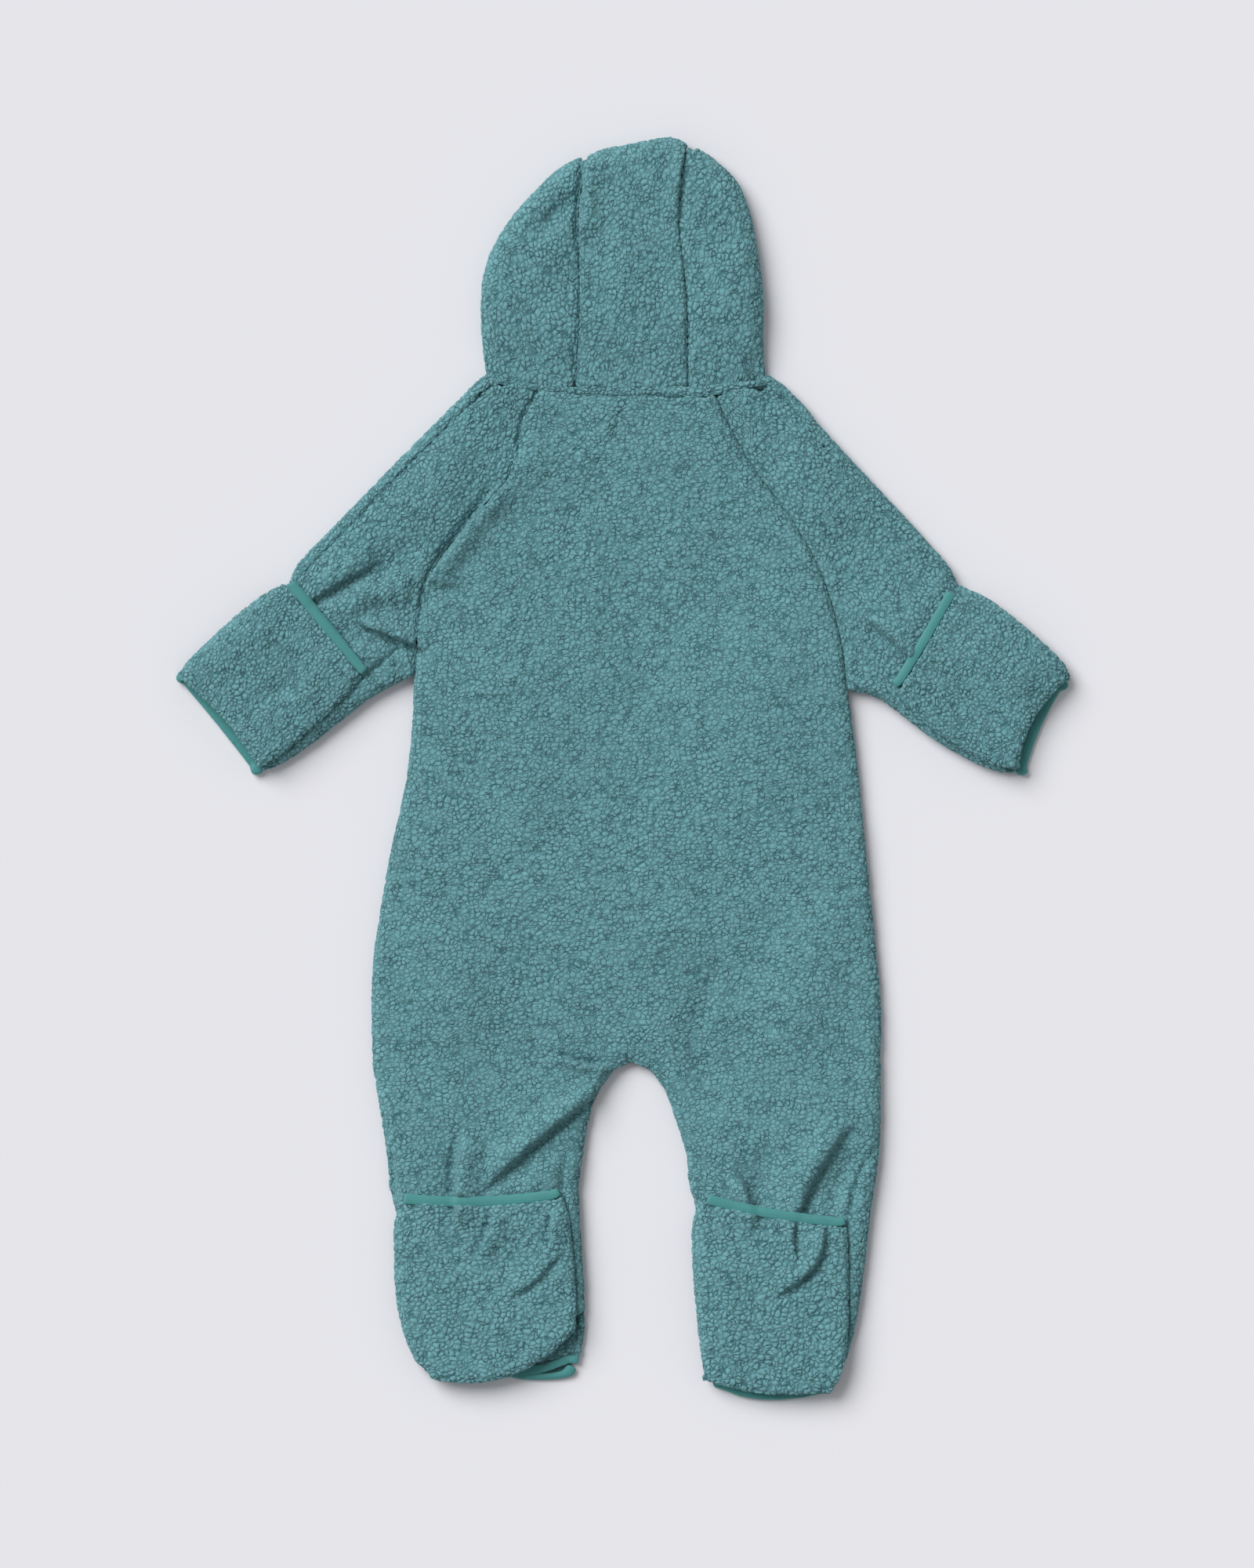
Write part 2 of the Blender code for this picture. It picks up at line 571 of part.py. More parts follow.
def front_columns(side, tail):
    """Plan columns of half the front, from its outer seam to the zip and the inner leg."""
    centre = centre_rows(NECK_FRONT_Y)
    half = (ZIP_WIDTH / 2 + SEAM_GAP) * ease(centre[:, 1], ZIP_BOTTOM_Y - 4, ZIP_BOTTOM_Y + 4)
    centre[:, 0] += SIGN[side] * np.maximum(half, SEAM_GAP / 2)
    outer = outer_ends(side, tail)
    outer[0] = FRONT_NECK_CORNER[side]
    inner = join(centre, inner_leg(side, tail))
    low = edge_columns(outer, inner, UNDER_STEPS)
    high = edge_columns(inner, outer, UNDER_STEPS, seam_rim=0.0)
    above = len(centre) - 1
    chord = outer - inner
    chord /= np.linalg.norm(chord, axis=1)[:, None]
    for column, reach in zip(high, CENTRE_STEPS):
        column[:above] = (inner + chord * reach)[:above]
    columns = low + between(low[-1], high[-1], FRONT_COLUMNS) + high[::-1]
    return bowed(columns, late(outer, inner, FRONT_BOW[side]))


def build_fronts(fleece, tape):
    """Each half of the front, and the binding on its leg opening."""
    made = []
    for side in SIDES:
        columns = front_columns(side, FRONT_TAIL)
        rows = len(columns[0]) - BINDING_ROWS
        panel = [column[:rows] for column in columns]
        band = [column[rows:] for column in columns]
        made.append(cloth("front_" + side, [lifted(panel, under_height)], fleece, upper=False))
        made.append(
            cloth("ankle_binding_" + side, [lifted(band, under_height)], tape, upper=False)
        )
    return made


# ---------------------------------------------------------------- sleeves
def sleeve_edges(side, cuff_shares):
    """The over-arm outline and the lower edge, down the raglan seam and on under the arm."""
    over = join(
        stations(lower_line("overarm_" + side), RAGLAN_ROWS + UNDERARM_ROWS),
        stations(lower_line("cuff_top_" + side), cuff_shares),
    )
    under = join(
        stations(smooth(CURVES["raglan_" + side]), RAGLAN_ROWS),
        stations(lower_line("underarm_" + side), UNDERARM_ROWS),
        stations(lower_line("cuff_low_" + side), cuff_shares),
    )
    return over, under


def seam_share(count):
    """1 where the over-arm seam lies in from the outline, and 0 past the flap's top."""
    start = RAGLAN_ROWS + UNDERARM_ROWS
    return 1 - ease(np.arange(count), start, start + 2)


def build_sleeves(fleece, tape):
    made = []
    for side in SIDES:
        made += [sleeve_back(side, fleece)] + sleeve_front(side, fleece, tape)
    return made


def sleeve_back(side, look):
    """From the over-arm seam to the raglan seam and the outline under the arm."""
    over, under = sleeve_edges(side, BACK_CUFF)
    seam = moved_in(over, SLEEVE_SEAM_IN * seam_share(len(over)) + SEAM_GAP, under)
    low = edge_columns(seam, under, seam_rim=0.0)
    high = edge_columns(under, seam)
    columns = low + between(low[-1], high[-1], SLEEVE_COLUMNS) + high[::-1]
    columns = bowed(columns, late(over, under, BACK_CUFF_BOW[side]))
    seams = [smooth(CURVES["raglan_" + side]), seam[: RAGLAN_ROWS + UNDERARM_ROWS]]
    step = SLEEVE_STEPS[side]
    return cloth(
        "sleeve_back_" + side,
        [lifted(columns, lambda points: upper_height(points, seams, step))],
        look,
    )


def sleeve_front(side, fleece, tape):
    """It starts on top, in from the over-arm outline, and goes round under the arm."""
    over, under = sleeve_edges(side, FRONT_CUFF)
    under[0] = FRONT_NECK_CORNER[side]
    share = seam_share(len(over))
    tops = [moved_in(over, np.maximum(reach * share, LIP / 2), under) for reach in WRAP_STEPS]
    low = [moved_in(over, reach, under) for reach in UNDER_STEPS]
    high = edge_columns(under, over, UNDER_STEPS)
    flat = low + between(low[-1], high[-1], SLEEVE_UNDER_COLUMNS) + high[::-1]
    flat = bowed([over] + flat, late(over, under, FRONT_CUFF_BOW[side]))
    seam = tops[0][: RAGLAN_ROWS + UNDERARM_ROWS]
    wrap = lifted(tops + [over], lambda points: upper_height(points, [seam]))
    rim = SEAM_HEIGHT - SEAM_GAP / 2 - np.array(RIM_FALLS)
    wrap[..., 2] = rim + (wrap[..., 2] - rim) * share[:, None]
    grid = np.concatenate([wrap, lifted(flat[1:], under_height)], axis=1)
    rows = len(over) - BINDING_ROWS
    binding = lifted(edge_rim(flat), under_height)
    return [
        cloth("sleeve_front_" + side, [grid[:rows]], fleece, upper=False),
        cloth("cuff_binding_" + side, [binding[rows:]], tape, upper=False),
    ]


def edge_rim(columns):
    """The columns with an upright lip next to the first, so that the rim is square."""
    first, second = columns[:2]
    chord = second - first
    chord /= np.linalg.norm(chord, axis=1)[:, None]
    return [first, first + chord * LIP] + columns[1:]


# ---------------------------------------------------------------- mittens and booties
Flap = namedtuple("Flap", "name outer inset bow top_bow")
FLAPS = (
    Flap("mitten_flap_left", "cuff_top_left", "mitten_low_left", -2.0, 0.0),
    Flap("mitten_flap_right", "cuff_top_right", "mitten_low_right", -5.0, 1.0),
    Flap("bootie_flap_left", "calf_left", "bootie_in_left", 16.0, 5.0),
    Flap("bootie_flap_right", "shin_right", "bootie_in_right", 5.0, 3.5),
)


def flap_columns(flap, tucks):
    """Plan columns of a flap. tucks are how far in from the fold its last rows lie."""
    outer, inset = smooth(CURVES[flap.outer]), smooth(CURVES[flap.inset])
    outer_end = lengths(outer)[-1] - FLAP_SHORT[flap.name]
    shares = [np.linspace(0, 1 - FOLD_ROUND * 2 / outer_end, FLAP_ROWS + 1)]
    shares += [[1 - tuck / outer_end] for tuck in tucks]
    shares = np.concatenate(shares)
    first = stations(outer, shares * outer_end / lengths(outer)[-1])
    last = stations(inset, shares)
    reach = [np.full(len(first), step) for step in (0.0, LIP) + FLAP_STEPS]
    low = [moved_in(first, step, last) for step in reach]
    high = [moved_in(last, step, first) for step in reach]
    columns = low + between(low[-1], high[-1], FLAP_COLUMNS) + high[::-1]
    bows = flap.bow * ease(shares, 0.35, 1.0) + flap.top_bow * (1 - ease(shares, 0.0, 0.5))
    return bowed(columns, bows), first, last


def fold_profile(angle):
    """How far in from the fold a row lies, and its height, round the fold from top to under."""
    middle = (FLAP_TOP + FOLD_UNDER) / 2
    radius = (FLAP_TOP - FOLD_UNDER) / 2
    return FOLD_ROUND * (1 - np.cos(angle)), middle + radius * np.sin(angle)


def build_flap(flap, look):
    """The cloth past the hand or foot, folded back over it: flat on top, and round at the fold."""
    angles = np.radians(FOLD_ANGLES)
    tucks = [fold_profile(angle)[0] for angle in angles] + [FOLD_TUCK]
    columns, first, last = flap_columns(flap, tucks)
    flat_rows = len(first) - len(tucks)
    tops = np.full(len(first), FLAP_TOP)
    tops[flat_rows:-1] = [fold_profile(angle)[1] for angle in angles]
    tops[-1] = FOLD_UNDER
    drop = FLAP_EDGE_DROP * np.clip((tops - FOLD_UNDER) / (FLAP_TOP - FOLD_UNDER) * 2 - 1, 0, 1)
    grid = []
    for column in columns:
        out = distance_rows(column, columns[0])
        side = distance_rows(column, columns[-1])
        height = FOLD_UNDER + (tops - FOLD_UNDER) * quarter(out, ROUND_TOP, FLAP_TOP - FOLD_UNDER)
        height -= drop * (1 - quarter(side, FLAP_STEPS[-1], FLAP_TOP - FOLD_UNDER))
        height += relief(column, "flap") * ease(np.minimum(out, side), 2.0, 16.0) * (tops == FLAP_TOP)
        grid.append(np.concatenate([column, height[:, None]], axis=1))
    return cloth(flap.name, [np.stack(grid, axis=1)], look, wall=FLAP_WALL)


def distance_rows(column, edge):
    return np.linalg.norm(column - edge, axis=1)


def strip(name, line, towards, look):
    """A tape on a flap's open edge: from the line to its width, on the side of towards."""
    width = BINDING_WIDTH
    reach = (0.0, LIP, 1.2, width / 2, width - 1.2, width - LIP, width)
    columns = [moved_in(line, np.full(len(line), step), towards) for step in reach]
    grid = [
        np.concatenate([column, np.full((len(column), 1), FLAP_TOP - fall)], axis=1)
        for column, fall in zip(columns, STRIP_FALLS)
    ]
    return cloth(name, [np.stack(grid, axis=1)], look, wall=STRIP_WALL)


def build_flap_binding(flap, look):
    """The tape on the flap's open edge, from seam to seam."""
    columns, _, _ = flap_columns(flap, [0.0])
    line = np.array([column[0] for column in columns[FLAP_BINDING_SKIP[flap.name]:-1]])
    beyond = 2 * line - np.array([c[1] for c in columns[FLAP_BINDING_SKIP[flap.name]:-1]])
    line = moved_in(line, np.full(len(line), SEAM_GAP), beyond)
    name = flap.name.replace("flap", "binding")
    return strip(name, line, beyond, look)


def build_flaps(fleece, tape):
    return [build_flap(flap, fleece) for flap in FLAPS] + [
        build_flap_binding(flap, tape) for flap in FLAPS
    ]


# ---------------------------------------------------------------- hood
def hood_side(side, look):
    """From the hood's seam out over the top, round the outline and under to the face."""
    seam = stations(smooth(CURVES["hood_seam_" + side]), HOOD_SHARES)
    outline = stations(smooth(CURVES["hood_" + side]), HOOD_SHARES)
    under_seam = np.array([CURVES["face_" + side][-1], HOOD_UNDER_TIP[side]])
    face = join(
        stations(smooth(CURVES["face_" + side]), HOOD_FACE_ROWS),
        stations(under_seam, len(HOOD_SHARES) - 1 - HOOD_FACE_ROWS),
    )
    face = moved_in(face, np.full(len(face), SEAM_GAP), outline)
    width = np.linalg.norm(outline - seam, axis=1)
    tops = [moved_in(seam, np.minimum(reach, width * share), outline)
            for reach, share in ((0.15, 0.04), (1.4, 0.2), (4.4, 0.35))]
    rounds = [moved_in(outline, np.minimum(reach, width * share), seam)
              for reach, share in ((8.0, 0.45), (3.6, 0.3), (1.0, 0.15), (0.0, 0.0))]
    tops += between(tops[-1], rounds[0], HOOD_COLUMNS) + rounds
    under = np.linalg.norm(outline - face, axis=1)
    unders = [moved_in(outline, np.minimum(reach, under * share), face)
              for reach, share in ((1.2, 0.15), (4.2, 0.35))]
    unders += between(unders[-1], face, HOOD_COLUMNS) + [face]
    seams = [smooth(CURVES["hood_seam_" + side])]
    step = HOOD_STEPS[side]
    grid = np.concatenate(
        [
            lifted(tops, lambda points: upper_height(points, seams, step)),
            lifted(unders, under_height),
        ],
        axis=1,
    )
    thinned = np.clip(width / 15.0, 0.25, 1.0)
    return cloth("hood_side_" + side, [grid], look, thinned=thinned)


def hood_centre(look):
    """The middle strip of the hood: up from the neck, over the top and down to the face."""
    seams = [smooth(CURVES["hood_seam_" + side]) for side in SIDES]
    left, right = (stations(seam, HOOD_SHARES) for seam in seams)
    top_line = smooth(CURVES["hood_top"][1:-1])
    shares = np.linspace(0, 1, HOOD_CENTRE_COLUMNS + 1)
    top_row = stations(top_line, shares)
    end = left[-1] + (right[-1] - left[-1]) * shares[:, None]
    rows = []
    for share, first, last in zip(HOOD_SHARES, left, right):
        row = first + (last - first) * shares[:, None]
        rows.append(row + (top_row - end) * ease(share, 0.6, 1.0))
    upper = np.array(rows)
    face_row = stations(smooth(CURVES["face_top"]), shares)
    under = np.array([top_row + (face_row - top_row) * share for share in HOOD_UNDER_SHARES])
    upper, under = (squeezed(part) for part in (upper, under))
    height = np.concatenate(
        [
            upper_height(upper.reshape(-1, 2), seams),
            under_height(under.reshape(-1, 2)),
        ]
    )
    plan = np.concatenate([upper, under])
    grid = np.concatenate([plan, height.reshape(*plan.shape[:2], 1)], axis=2)
    return cloth("hood_centre", [grid], look)


def squeezed(rows):
    """The rows with their end columns moved in from the seams by half the gap."""
    rows = rows.copy()
    for column, other in ((0, 1), (-1, -2)):
        chord = rows[:, other] - rows[:, column]
        chord /= np.linalg.norm(chord, axis=1)[:, None]
        rows[:, column] += chord * SEAM_GAP * 0.7
    return rows


def build_hood(fleece, tape):
    """The three panels, the band at the neck seam and the binding round the face."""
    made = [hood_centre(fleece)] + [hood_side(side, fleece) for side in SIDES]
    neck_up = stations(smooth(CURVES["neck_up"]), NECK_ROWS) + np.array([0.0, -0.5])
    neck_low = stations(smooth(CURVES["neck_low"]), NECK_ROWS) + np.array([0.0, 1.0])
    shares = (0.0, 0.02, 0.25, 0.5, 0.75, 0.98, 1.0)
    columns = [neck_up + (neck_low - neck_up) * share for share in shares]
    dome = NECK_DOME * np.array([0.0, 0.2, 0.8, 1.0, 0.8, 0.2, 0.0])
    grid = lifted(columns, upper_height)
    grid[..., 2] += dome - GROOVE_DEPTH
    made.append(cloth("neck_band", [grid], fleece))
    face = join(
        stations(smooth(CURVES["face_left"]), FACE_ROWS),
        stations(smooth(CURVES["face_top"]), FACE_ROWS // 2),
        stations(smooth(CURVES["face_right"])[::-1], FACE_ROWS),
    )
    middle = np.array([2.0, 300.0])
    face = moved_in(face, np.full(len(face), SEAM_GAP), middle)
    reach = (0.0, BINDING_WIDTH * 0.5, BINDING_WIDTH)
    columns = [moved_in(face, np.full(len(face), step), middle) for step in reach]
    grid = lifted(columns, lambda points: np.zeros(len(points)))
    made.append(cloth("hood_binding", [grid], tape, upper=False))
    return made


# ---------------------------------------------------------------- zip
def block(name, size, centre, look):
    """A box with its long edges softened."""
    bm = bmesh.new()
    bmesh.ops.create_cube(bm, size=1.0)
    for vert in bm.verts:
        vert.co = [vert.co[k] * size[k] * MM + centre[k] * MM for k in range(3)]
    mesh = bpy.data.meshes.new(name)
    bm.to_mesh(mesh)
    bm.free()
    obj = bpy.data.objects.new(name, mesh)
    mesh.materials.append(look)
    bevel = obj.modifiers.new("Softened", "BEVEL")
    bevel.width = 0.3 * MM
    bevel.segments = 1
    return obj


def build_zip(tape, metal):
    """A zip down the centre front, closed, and its slider at the neck."""
    length = ZIP_TOP_Y - ZIP_BOTTOM_Y
    middle = (ZIP_TOP_Y + ZIP_BOTTOM_Y) / 2
    x = NECK_CENTRE_X + (CROTCH_X - NECK_CENTRE_X) * (ZIP_TOP_Y - middle) / (ZIP_TOP_Y + 184.5)
    size = (ZIP_WIDTH - 2.6, length - 12.0, TAPE_WALL)
    strip_of_tape = block("zip_tape", size, (x, middle + 3.0, ZIP_TAPE_Z), tape)
    slider = block("zip_slider", SLIDER_SIZE, (x - 0.6, ZIP_TOP_Y - 14.0, SLIDER_Z), metal)
    return [strip_of_tape, slider]


# ---------------------------------------------------------------- the onesie
def centred(objects):
    """Parents the pieces to an empty that puts the bottom centre of the whole at the origin."""
    corners = np.array([vert.co[:] for obj in objects for vert in obj.data.vertices])
    low, high = corners.min(axis=0), corners.max(axis=0)
    origin = bpy.data.objects.new(NAME, None)
    origin.location = (-(low[0] + high[0]) / 2, -(low[1] + high[1]) / 2, 0.0)
    for obj in objects:
        obj.parent = origin
    return origin


def main():
    clear_scene()
    fleece = material("fleece", FLEECE, 0.95)
    binding = material("binding", BINDING, 0.7)
    zip_tape = material("zip_tape", ZIP_TAPE, 0.8)
    metal = material("zip_metal", METAL, 0.35, 1.0)
    objects = build_back(fleece) + build_fronts(fleece, binding)
    objects += build_sleeves(fleece, binding) + build_flaps(fleece, binding)
    objects += build_hood(fleece, binding) + build_zip(zip_tape, metal)
    group = bpy.data.collections.new(NAME)
    bpy.context.scene.collection.children.link(group)
    group.objects.link(centred(objects))
    for obj in objects:
        group.objects.link(obj)


main()
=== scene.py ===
"""The looks of a baby's hooded fleece onesie that lies flat with its back up.

The row frame is in metres, with +Y towards the hood and +Z up from the floor.
The tables are in millimetres, in the pattern's own frame, and ORIGIN moves
that frame to the row's.
"""

import math
from collections import namedtuple

import bmesh
import bpy
import numpy as np
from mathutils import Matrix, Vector


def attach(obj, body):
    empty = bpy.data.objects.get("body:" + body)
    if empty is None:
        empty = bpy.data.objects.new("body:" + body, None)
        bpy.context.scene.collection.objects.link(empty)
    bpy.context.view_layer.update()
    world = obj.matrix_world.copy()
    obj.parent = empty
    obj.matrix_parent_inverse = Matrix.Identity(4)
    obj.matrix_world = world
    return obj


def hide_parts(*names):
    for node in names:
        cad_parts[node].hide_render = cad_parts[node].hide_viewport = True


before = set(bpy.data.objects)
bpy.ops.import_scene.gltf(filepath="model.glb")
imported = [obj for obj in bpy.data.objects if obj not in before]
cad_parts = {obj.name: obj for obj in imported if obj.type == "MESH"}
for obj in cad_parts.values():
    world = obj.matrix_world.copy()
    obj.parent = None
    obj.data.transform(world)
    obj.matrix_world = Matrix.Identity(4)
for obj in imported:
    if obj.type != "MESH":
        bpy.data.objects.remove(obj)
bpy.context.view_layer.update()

MM = 0.001
ORIGIN = np.array([-0.307, -2.053, 0.0])

# The curled pile: how large a clump is along, across and through the cloth, how high it
# stands where it shows and where the cloth rests on it, and how far and over what length the
# clumps wander from their rows, in mm. CURLED is how much noise warps a clump's outline,
# PILE_ROOT the share of the height that lies under the cloth's own face, and GROOVE_PRESS
# the share that a seam's groove takes off.
CLUMP = (4.2, 3.4, 3.4)
CLUMP_HEIGHT, PRESSED_HEIGHT = 1.3, 0.35
WANDER, WANDER_SIZE = 1.6, 7.0
CURLED, PILE_ROOT, GROOVE_PRESS = 0.6, 0.45, 0.6

# The section of a clump, as shares of its size: how ragged and how wide the gap round it is,
# how far its dome drops to the side, and the least depth of a gap and height of a clump
RAGGED, GAP_WIDTH, DOME_DROP, SHALLOW_GAP, LOW_CLUMP = 0.16, 0.17, 0.5, 0.55, 0.74

# Where most of a noise's values lie
NOISE_SPAN = (0.3, 0.7)

# How close-set the points of a piece are where it shows from below, where nothing shows, and
# on a tape, in mm
UNDER_SPACING, HIDDEN_SPACING, TAPE_SPACING = 2.9, 9.0, 1.5

# An edge is split when it is longer than SPLIT_OVER times the spacing and not much shorter
# than the longest beside it, until few are left. Then the points are evened out.
SPLIT_ROUNDS, SPLIT_OVER, SPLIT_BESIDE, SPLIT_FEW = 9, 1.34, 0.62, 0.004
RELAX, RELAX_ROUNDS, TAPE_RELAX_ROUNDS = 0.5, 6, 3

# The maps of what shows: their corner and size in cells of 1 mm, the points to a square mm
# that they are made from, and how far under the top layer a point is hidden or shows
MAP_CORNER, MAP_CELLS = np.array([-310.0, -430.0]), (620, 860)
MAP_POINTS = 4
HIDDEN_UNDER, SHOWN_UNDER = -2.4, -1.2

# From where to where the upward part of its normal makes a face show from above or from
# below, lie level, and be a face and no edge
FACES_UP, FACES_DOWN, LEVEL, NO_EDGE = (-0.5, -0.1), (-0.1, 0.3), (0.2, 0.8), (0.5, 0.9)

# How far a panel's edge is let out to meet the next one at a seam, in mm
EDGE_LET_OUT = 0.32

# Slow waves of the cloth. Columns: length and height in mm, seed.
WAVES = ((58.0, 1.7, 3), (21.0, 0.6, 5))

# The pieces of fleece. clump scales its clumps and turn is the way they run, in degrees,
# flat is the cut in m, and area its area in square metres.
Cloth = namedtuple("Cloth", "node spacing clump turn flat area held")
FLEECE = (
    Cloth("back", 1.86, 0.80, 0, (0.34, 0.65), 0.155, "laid"),
    Cloth("front_left", 1.6, 0.85, 0, (0.17, 0.65), 0.078, "laid"),
    Cloth("front_right", 1.6, 0.85, 0, (0.17, 0.65), 0.077, "laid"),
    Cloth("sleeve_back_left", 1.15, 0.80, 45, (0.11, 0.27), 0.0190, "laid"),
    Cloth("sleeve_back_right", 1.15, 0.80, -45, (0.11, 0.27), 0.0188, "laid"),
    Cloth("sleeve_front_left", 1.3, 0.80, 45, (0.12, 0.29), 0.0225, "folded"),
    Cloth("sleeve_front_right", 1.3, 0.80, -45, (0.12, 0.29), 0.0220, "folded"),
    Cloth("mitten_flap_left", 1.05, 0.74, 45, (0.10, 0.12), 0.0085, "folded"),
    Cloth("mitten_flap_right", 1.05, 0.74, -45, (0.10, 0.12), 0.0085, "folded"),
    Cloth("bootie_flap_left", 1.1, 0.86, 5, (0.14, 0.14), 0.0145, "folded"),
    Cloth("bootie_flap_right", 1.1, 0.86, 0, (0.12, 0.14), 0.0122, "folded"),
    Cloth("hood_centre", 1.15, 0.84, 80, (0.08, 0.24), 0.0145, "folded"),
    Cloth("hood_side_left", 1.2, 0.88, 100, (0.15, 0.19), 0.0150, "folded"),
    Cloth("hood_side_right", 1.2, 0.88, 80, (0.14, 0.19), 0.0145, "folded"),
    Cloth("neck_band", 1.0, 0.75, 0, (0.013, 0.17), 0.0018, "laid"),
)

# Seams sunk into the pile. Columns: x, y in mm.
SEAMS = {
    "raglan_left": [(-53.8, 242.0), (-66.2, 221.5), (-70.8, 191.0), (-99.8, 158.0),
                    (-125.8, 124.0), (-131.0, 96.5), (-133.3, 61.5)],
    "raglan_right": [(57.2, 237.6), (69.8, 213.5), (83.2, 190.5), (102.2, 166.0),
                     (119.8, 137.0), (131.2, 108.5), (138.8, 76.0), (141.8, 51.0)],
    "overarm_left": [(-91.8, 238.2), (-115.2, 216.7), (-150.8, 181.0), (-181.2, 149.5),
                     (-209.7, 120.0)],
    "overarm_right": [(94.2, 249.0), (107.2, 231.2), (118.0, 220.2), (129.8, 211.2),
                      (160.0, 180.0), (190.8, 148.8), (208.8, 119.2)],
    "hood_left": [(-29.8, 242.0), (-29.2, 271.0), (-28.2, 294.0), (-28.8, 324.5),
                  (-30.2, 358.5), (-26.2, 375.2), (-24.2, 391.0)],
    "hood_right": [(40.8, 242.0), (40.2, 294.0), (37.8, 321.5), (35.2, 343.0),
                   (35.0, 358.5), (37.2, 381.5), (40.8, 399.0)],
    "neck_stitch": [(-69.8, 244.8), (-49.0, 241.5), (-33.0, 239.6), (-8.8, 237.8),
                    (40.2, 238.8), (57.2, 237.8), (75.8, 241.8)],
    "underarm_left": [(-172.2, 57.0), (-158.0, 66.0), (-141.8, 80.0)],
    "underarm_right": [(140.5, 62.8), (171.2, 54.2), (183.8, 38.2), (213.8, 13.2)],
    "calf_left": [(-149.0, -240.0), (-143.0, -266.0)],
    "shin_left": [(-36.2, -241.8), (-39.8, -262.2), (-36.2, -281.2), (-32.2, -310.2),
                  (-30.2, -338.8), (-31.2, -366.8)],
    "calf_right": [(160.8, -240.2), (150.8, -254.2), (143.8, -273.8), (142.2, -296.2),
                   (142.2, -324.8), (143.2, -352.8), (139.8, -376.2)],
}
SEAM_WIDTH, SEAM_SINK, SEAM_REACH = 1.3, 0.75, 9.0

# Where a panel is eased in plan and in height to meet its neighbour, fading out over width.
# Lengths in mm.
Tug = namedtuple("Tug", "node x y dx dy dz width")
TUGS = tuple(Tug(*row) for row in (
    ("hood_side_left", -86, 254, 1.0, -9.0, -2.5, 20),
    ("hood_side_left", -50, 247, 0.0, -4.6, -1.0, 22),
    ("hood_side_left", -25, 391, 2.2, 0.0, 0.0, 12),
    ("hood_side_right", 88, 253, 1.0, -9.6, -2.5, 20),
    ("hood_side_right", 56, 246, 0.0, -4.6, -1.0, 22),
    ("hood_side_right", 82, 250, 0.0, -3.5, -1.5, 10),
    ("hood_side_left", -76, 250, 0.0, -2.5, -1.0, 9),
    ("hood_centre", 6, 242, 0.0, -3.0, -0.4, 34),
    ("neck_band", -82, 245, -9.0, 1.4, 0.9, 16),
    ("neck_band", 84, 243, 9.0, 2.2, 0.9, 16),
    ("neck_band", -45, 242, 0.0, -0.8, 0.0, 16),
    ("neck_band", 50, 240, 0.0, -0.8, 0.0, 16),
    ("back", -48, 241, 0.0, 3.2, 1.6, 14),
    ("back", 50, 239, 0.0, 3.4, 1.6, 14),
    ("back", 2, 238, 0.0, 1.6, 0.0, 26),
    ("sleeve_back_left", -72, 240, 0.0, 4.4, 1.8, 14),
    ("sleeve_back_right", 78, 240, 1.6, 5.2, 2.2, 14),
    ("sleeve_front_left", -90, 244, 2.2, 4.2, 1.4, 12),
    ("sleeve_front_right", 92, 246, -2.5, 4.2, 1.4, 12),
    ("mitten_flap_left", -288, 62, 3.0, -1.2, 0.0, 5),
    ("mitten_flap_left", -262, 24, 1.8, 1.4, 0.0, 26),
    ("sleeve_front_left", -283, 55, 0.8, 0.2, 0.0, 5),
    ("mitten_flap_right", 289, 62, -3.4, -1.2, 0.0, 5),
    ("mitten_flap_right", 264, 24, -1.8, 1.4, 0.0, 26),
    ("sleeve_front_right", 283, 54, -0.8, 0.2, 0.0, 5),
    ("mitten_flap_right", 218, 119, -2.4, -2.0, -1.0, 9),
    ("sleeve_back_right", 206, 124, 2.2, 1.6, 0.6, 9),
    ("mitten_flap_left", -218, 119, 1.6, -1.4, -1.0, 8),
    ("bootie_flap_left", -146, -275, 3.6, -1.4, -1.2, 11),
    ("bootie_flap_left", -131, -386, 4.0, 3.0, 0.0, 6),
    ("back", -143, -266, -2.6, -4.0, -1.0, 11),
    ("front_left", -143, -273, -3.6, 0.0, 0.0, 10),
    ("ankle_binding_left", -34, -379, 0.6, 2.2, 0.6, 11),
    ("ankle_binding_right", 70, -394, 0.0, -2.2, 0.6, 26),
    ("bootie_flap_right", 44, -274, 3.0, -2.0, -1.2, 11),
    ("back", 43, -264, -1.6, -4.5, -1.0, 12),
    ("front_right", 44, -271, -3.4, 0.0, 0.0, 10),
))

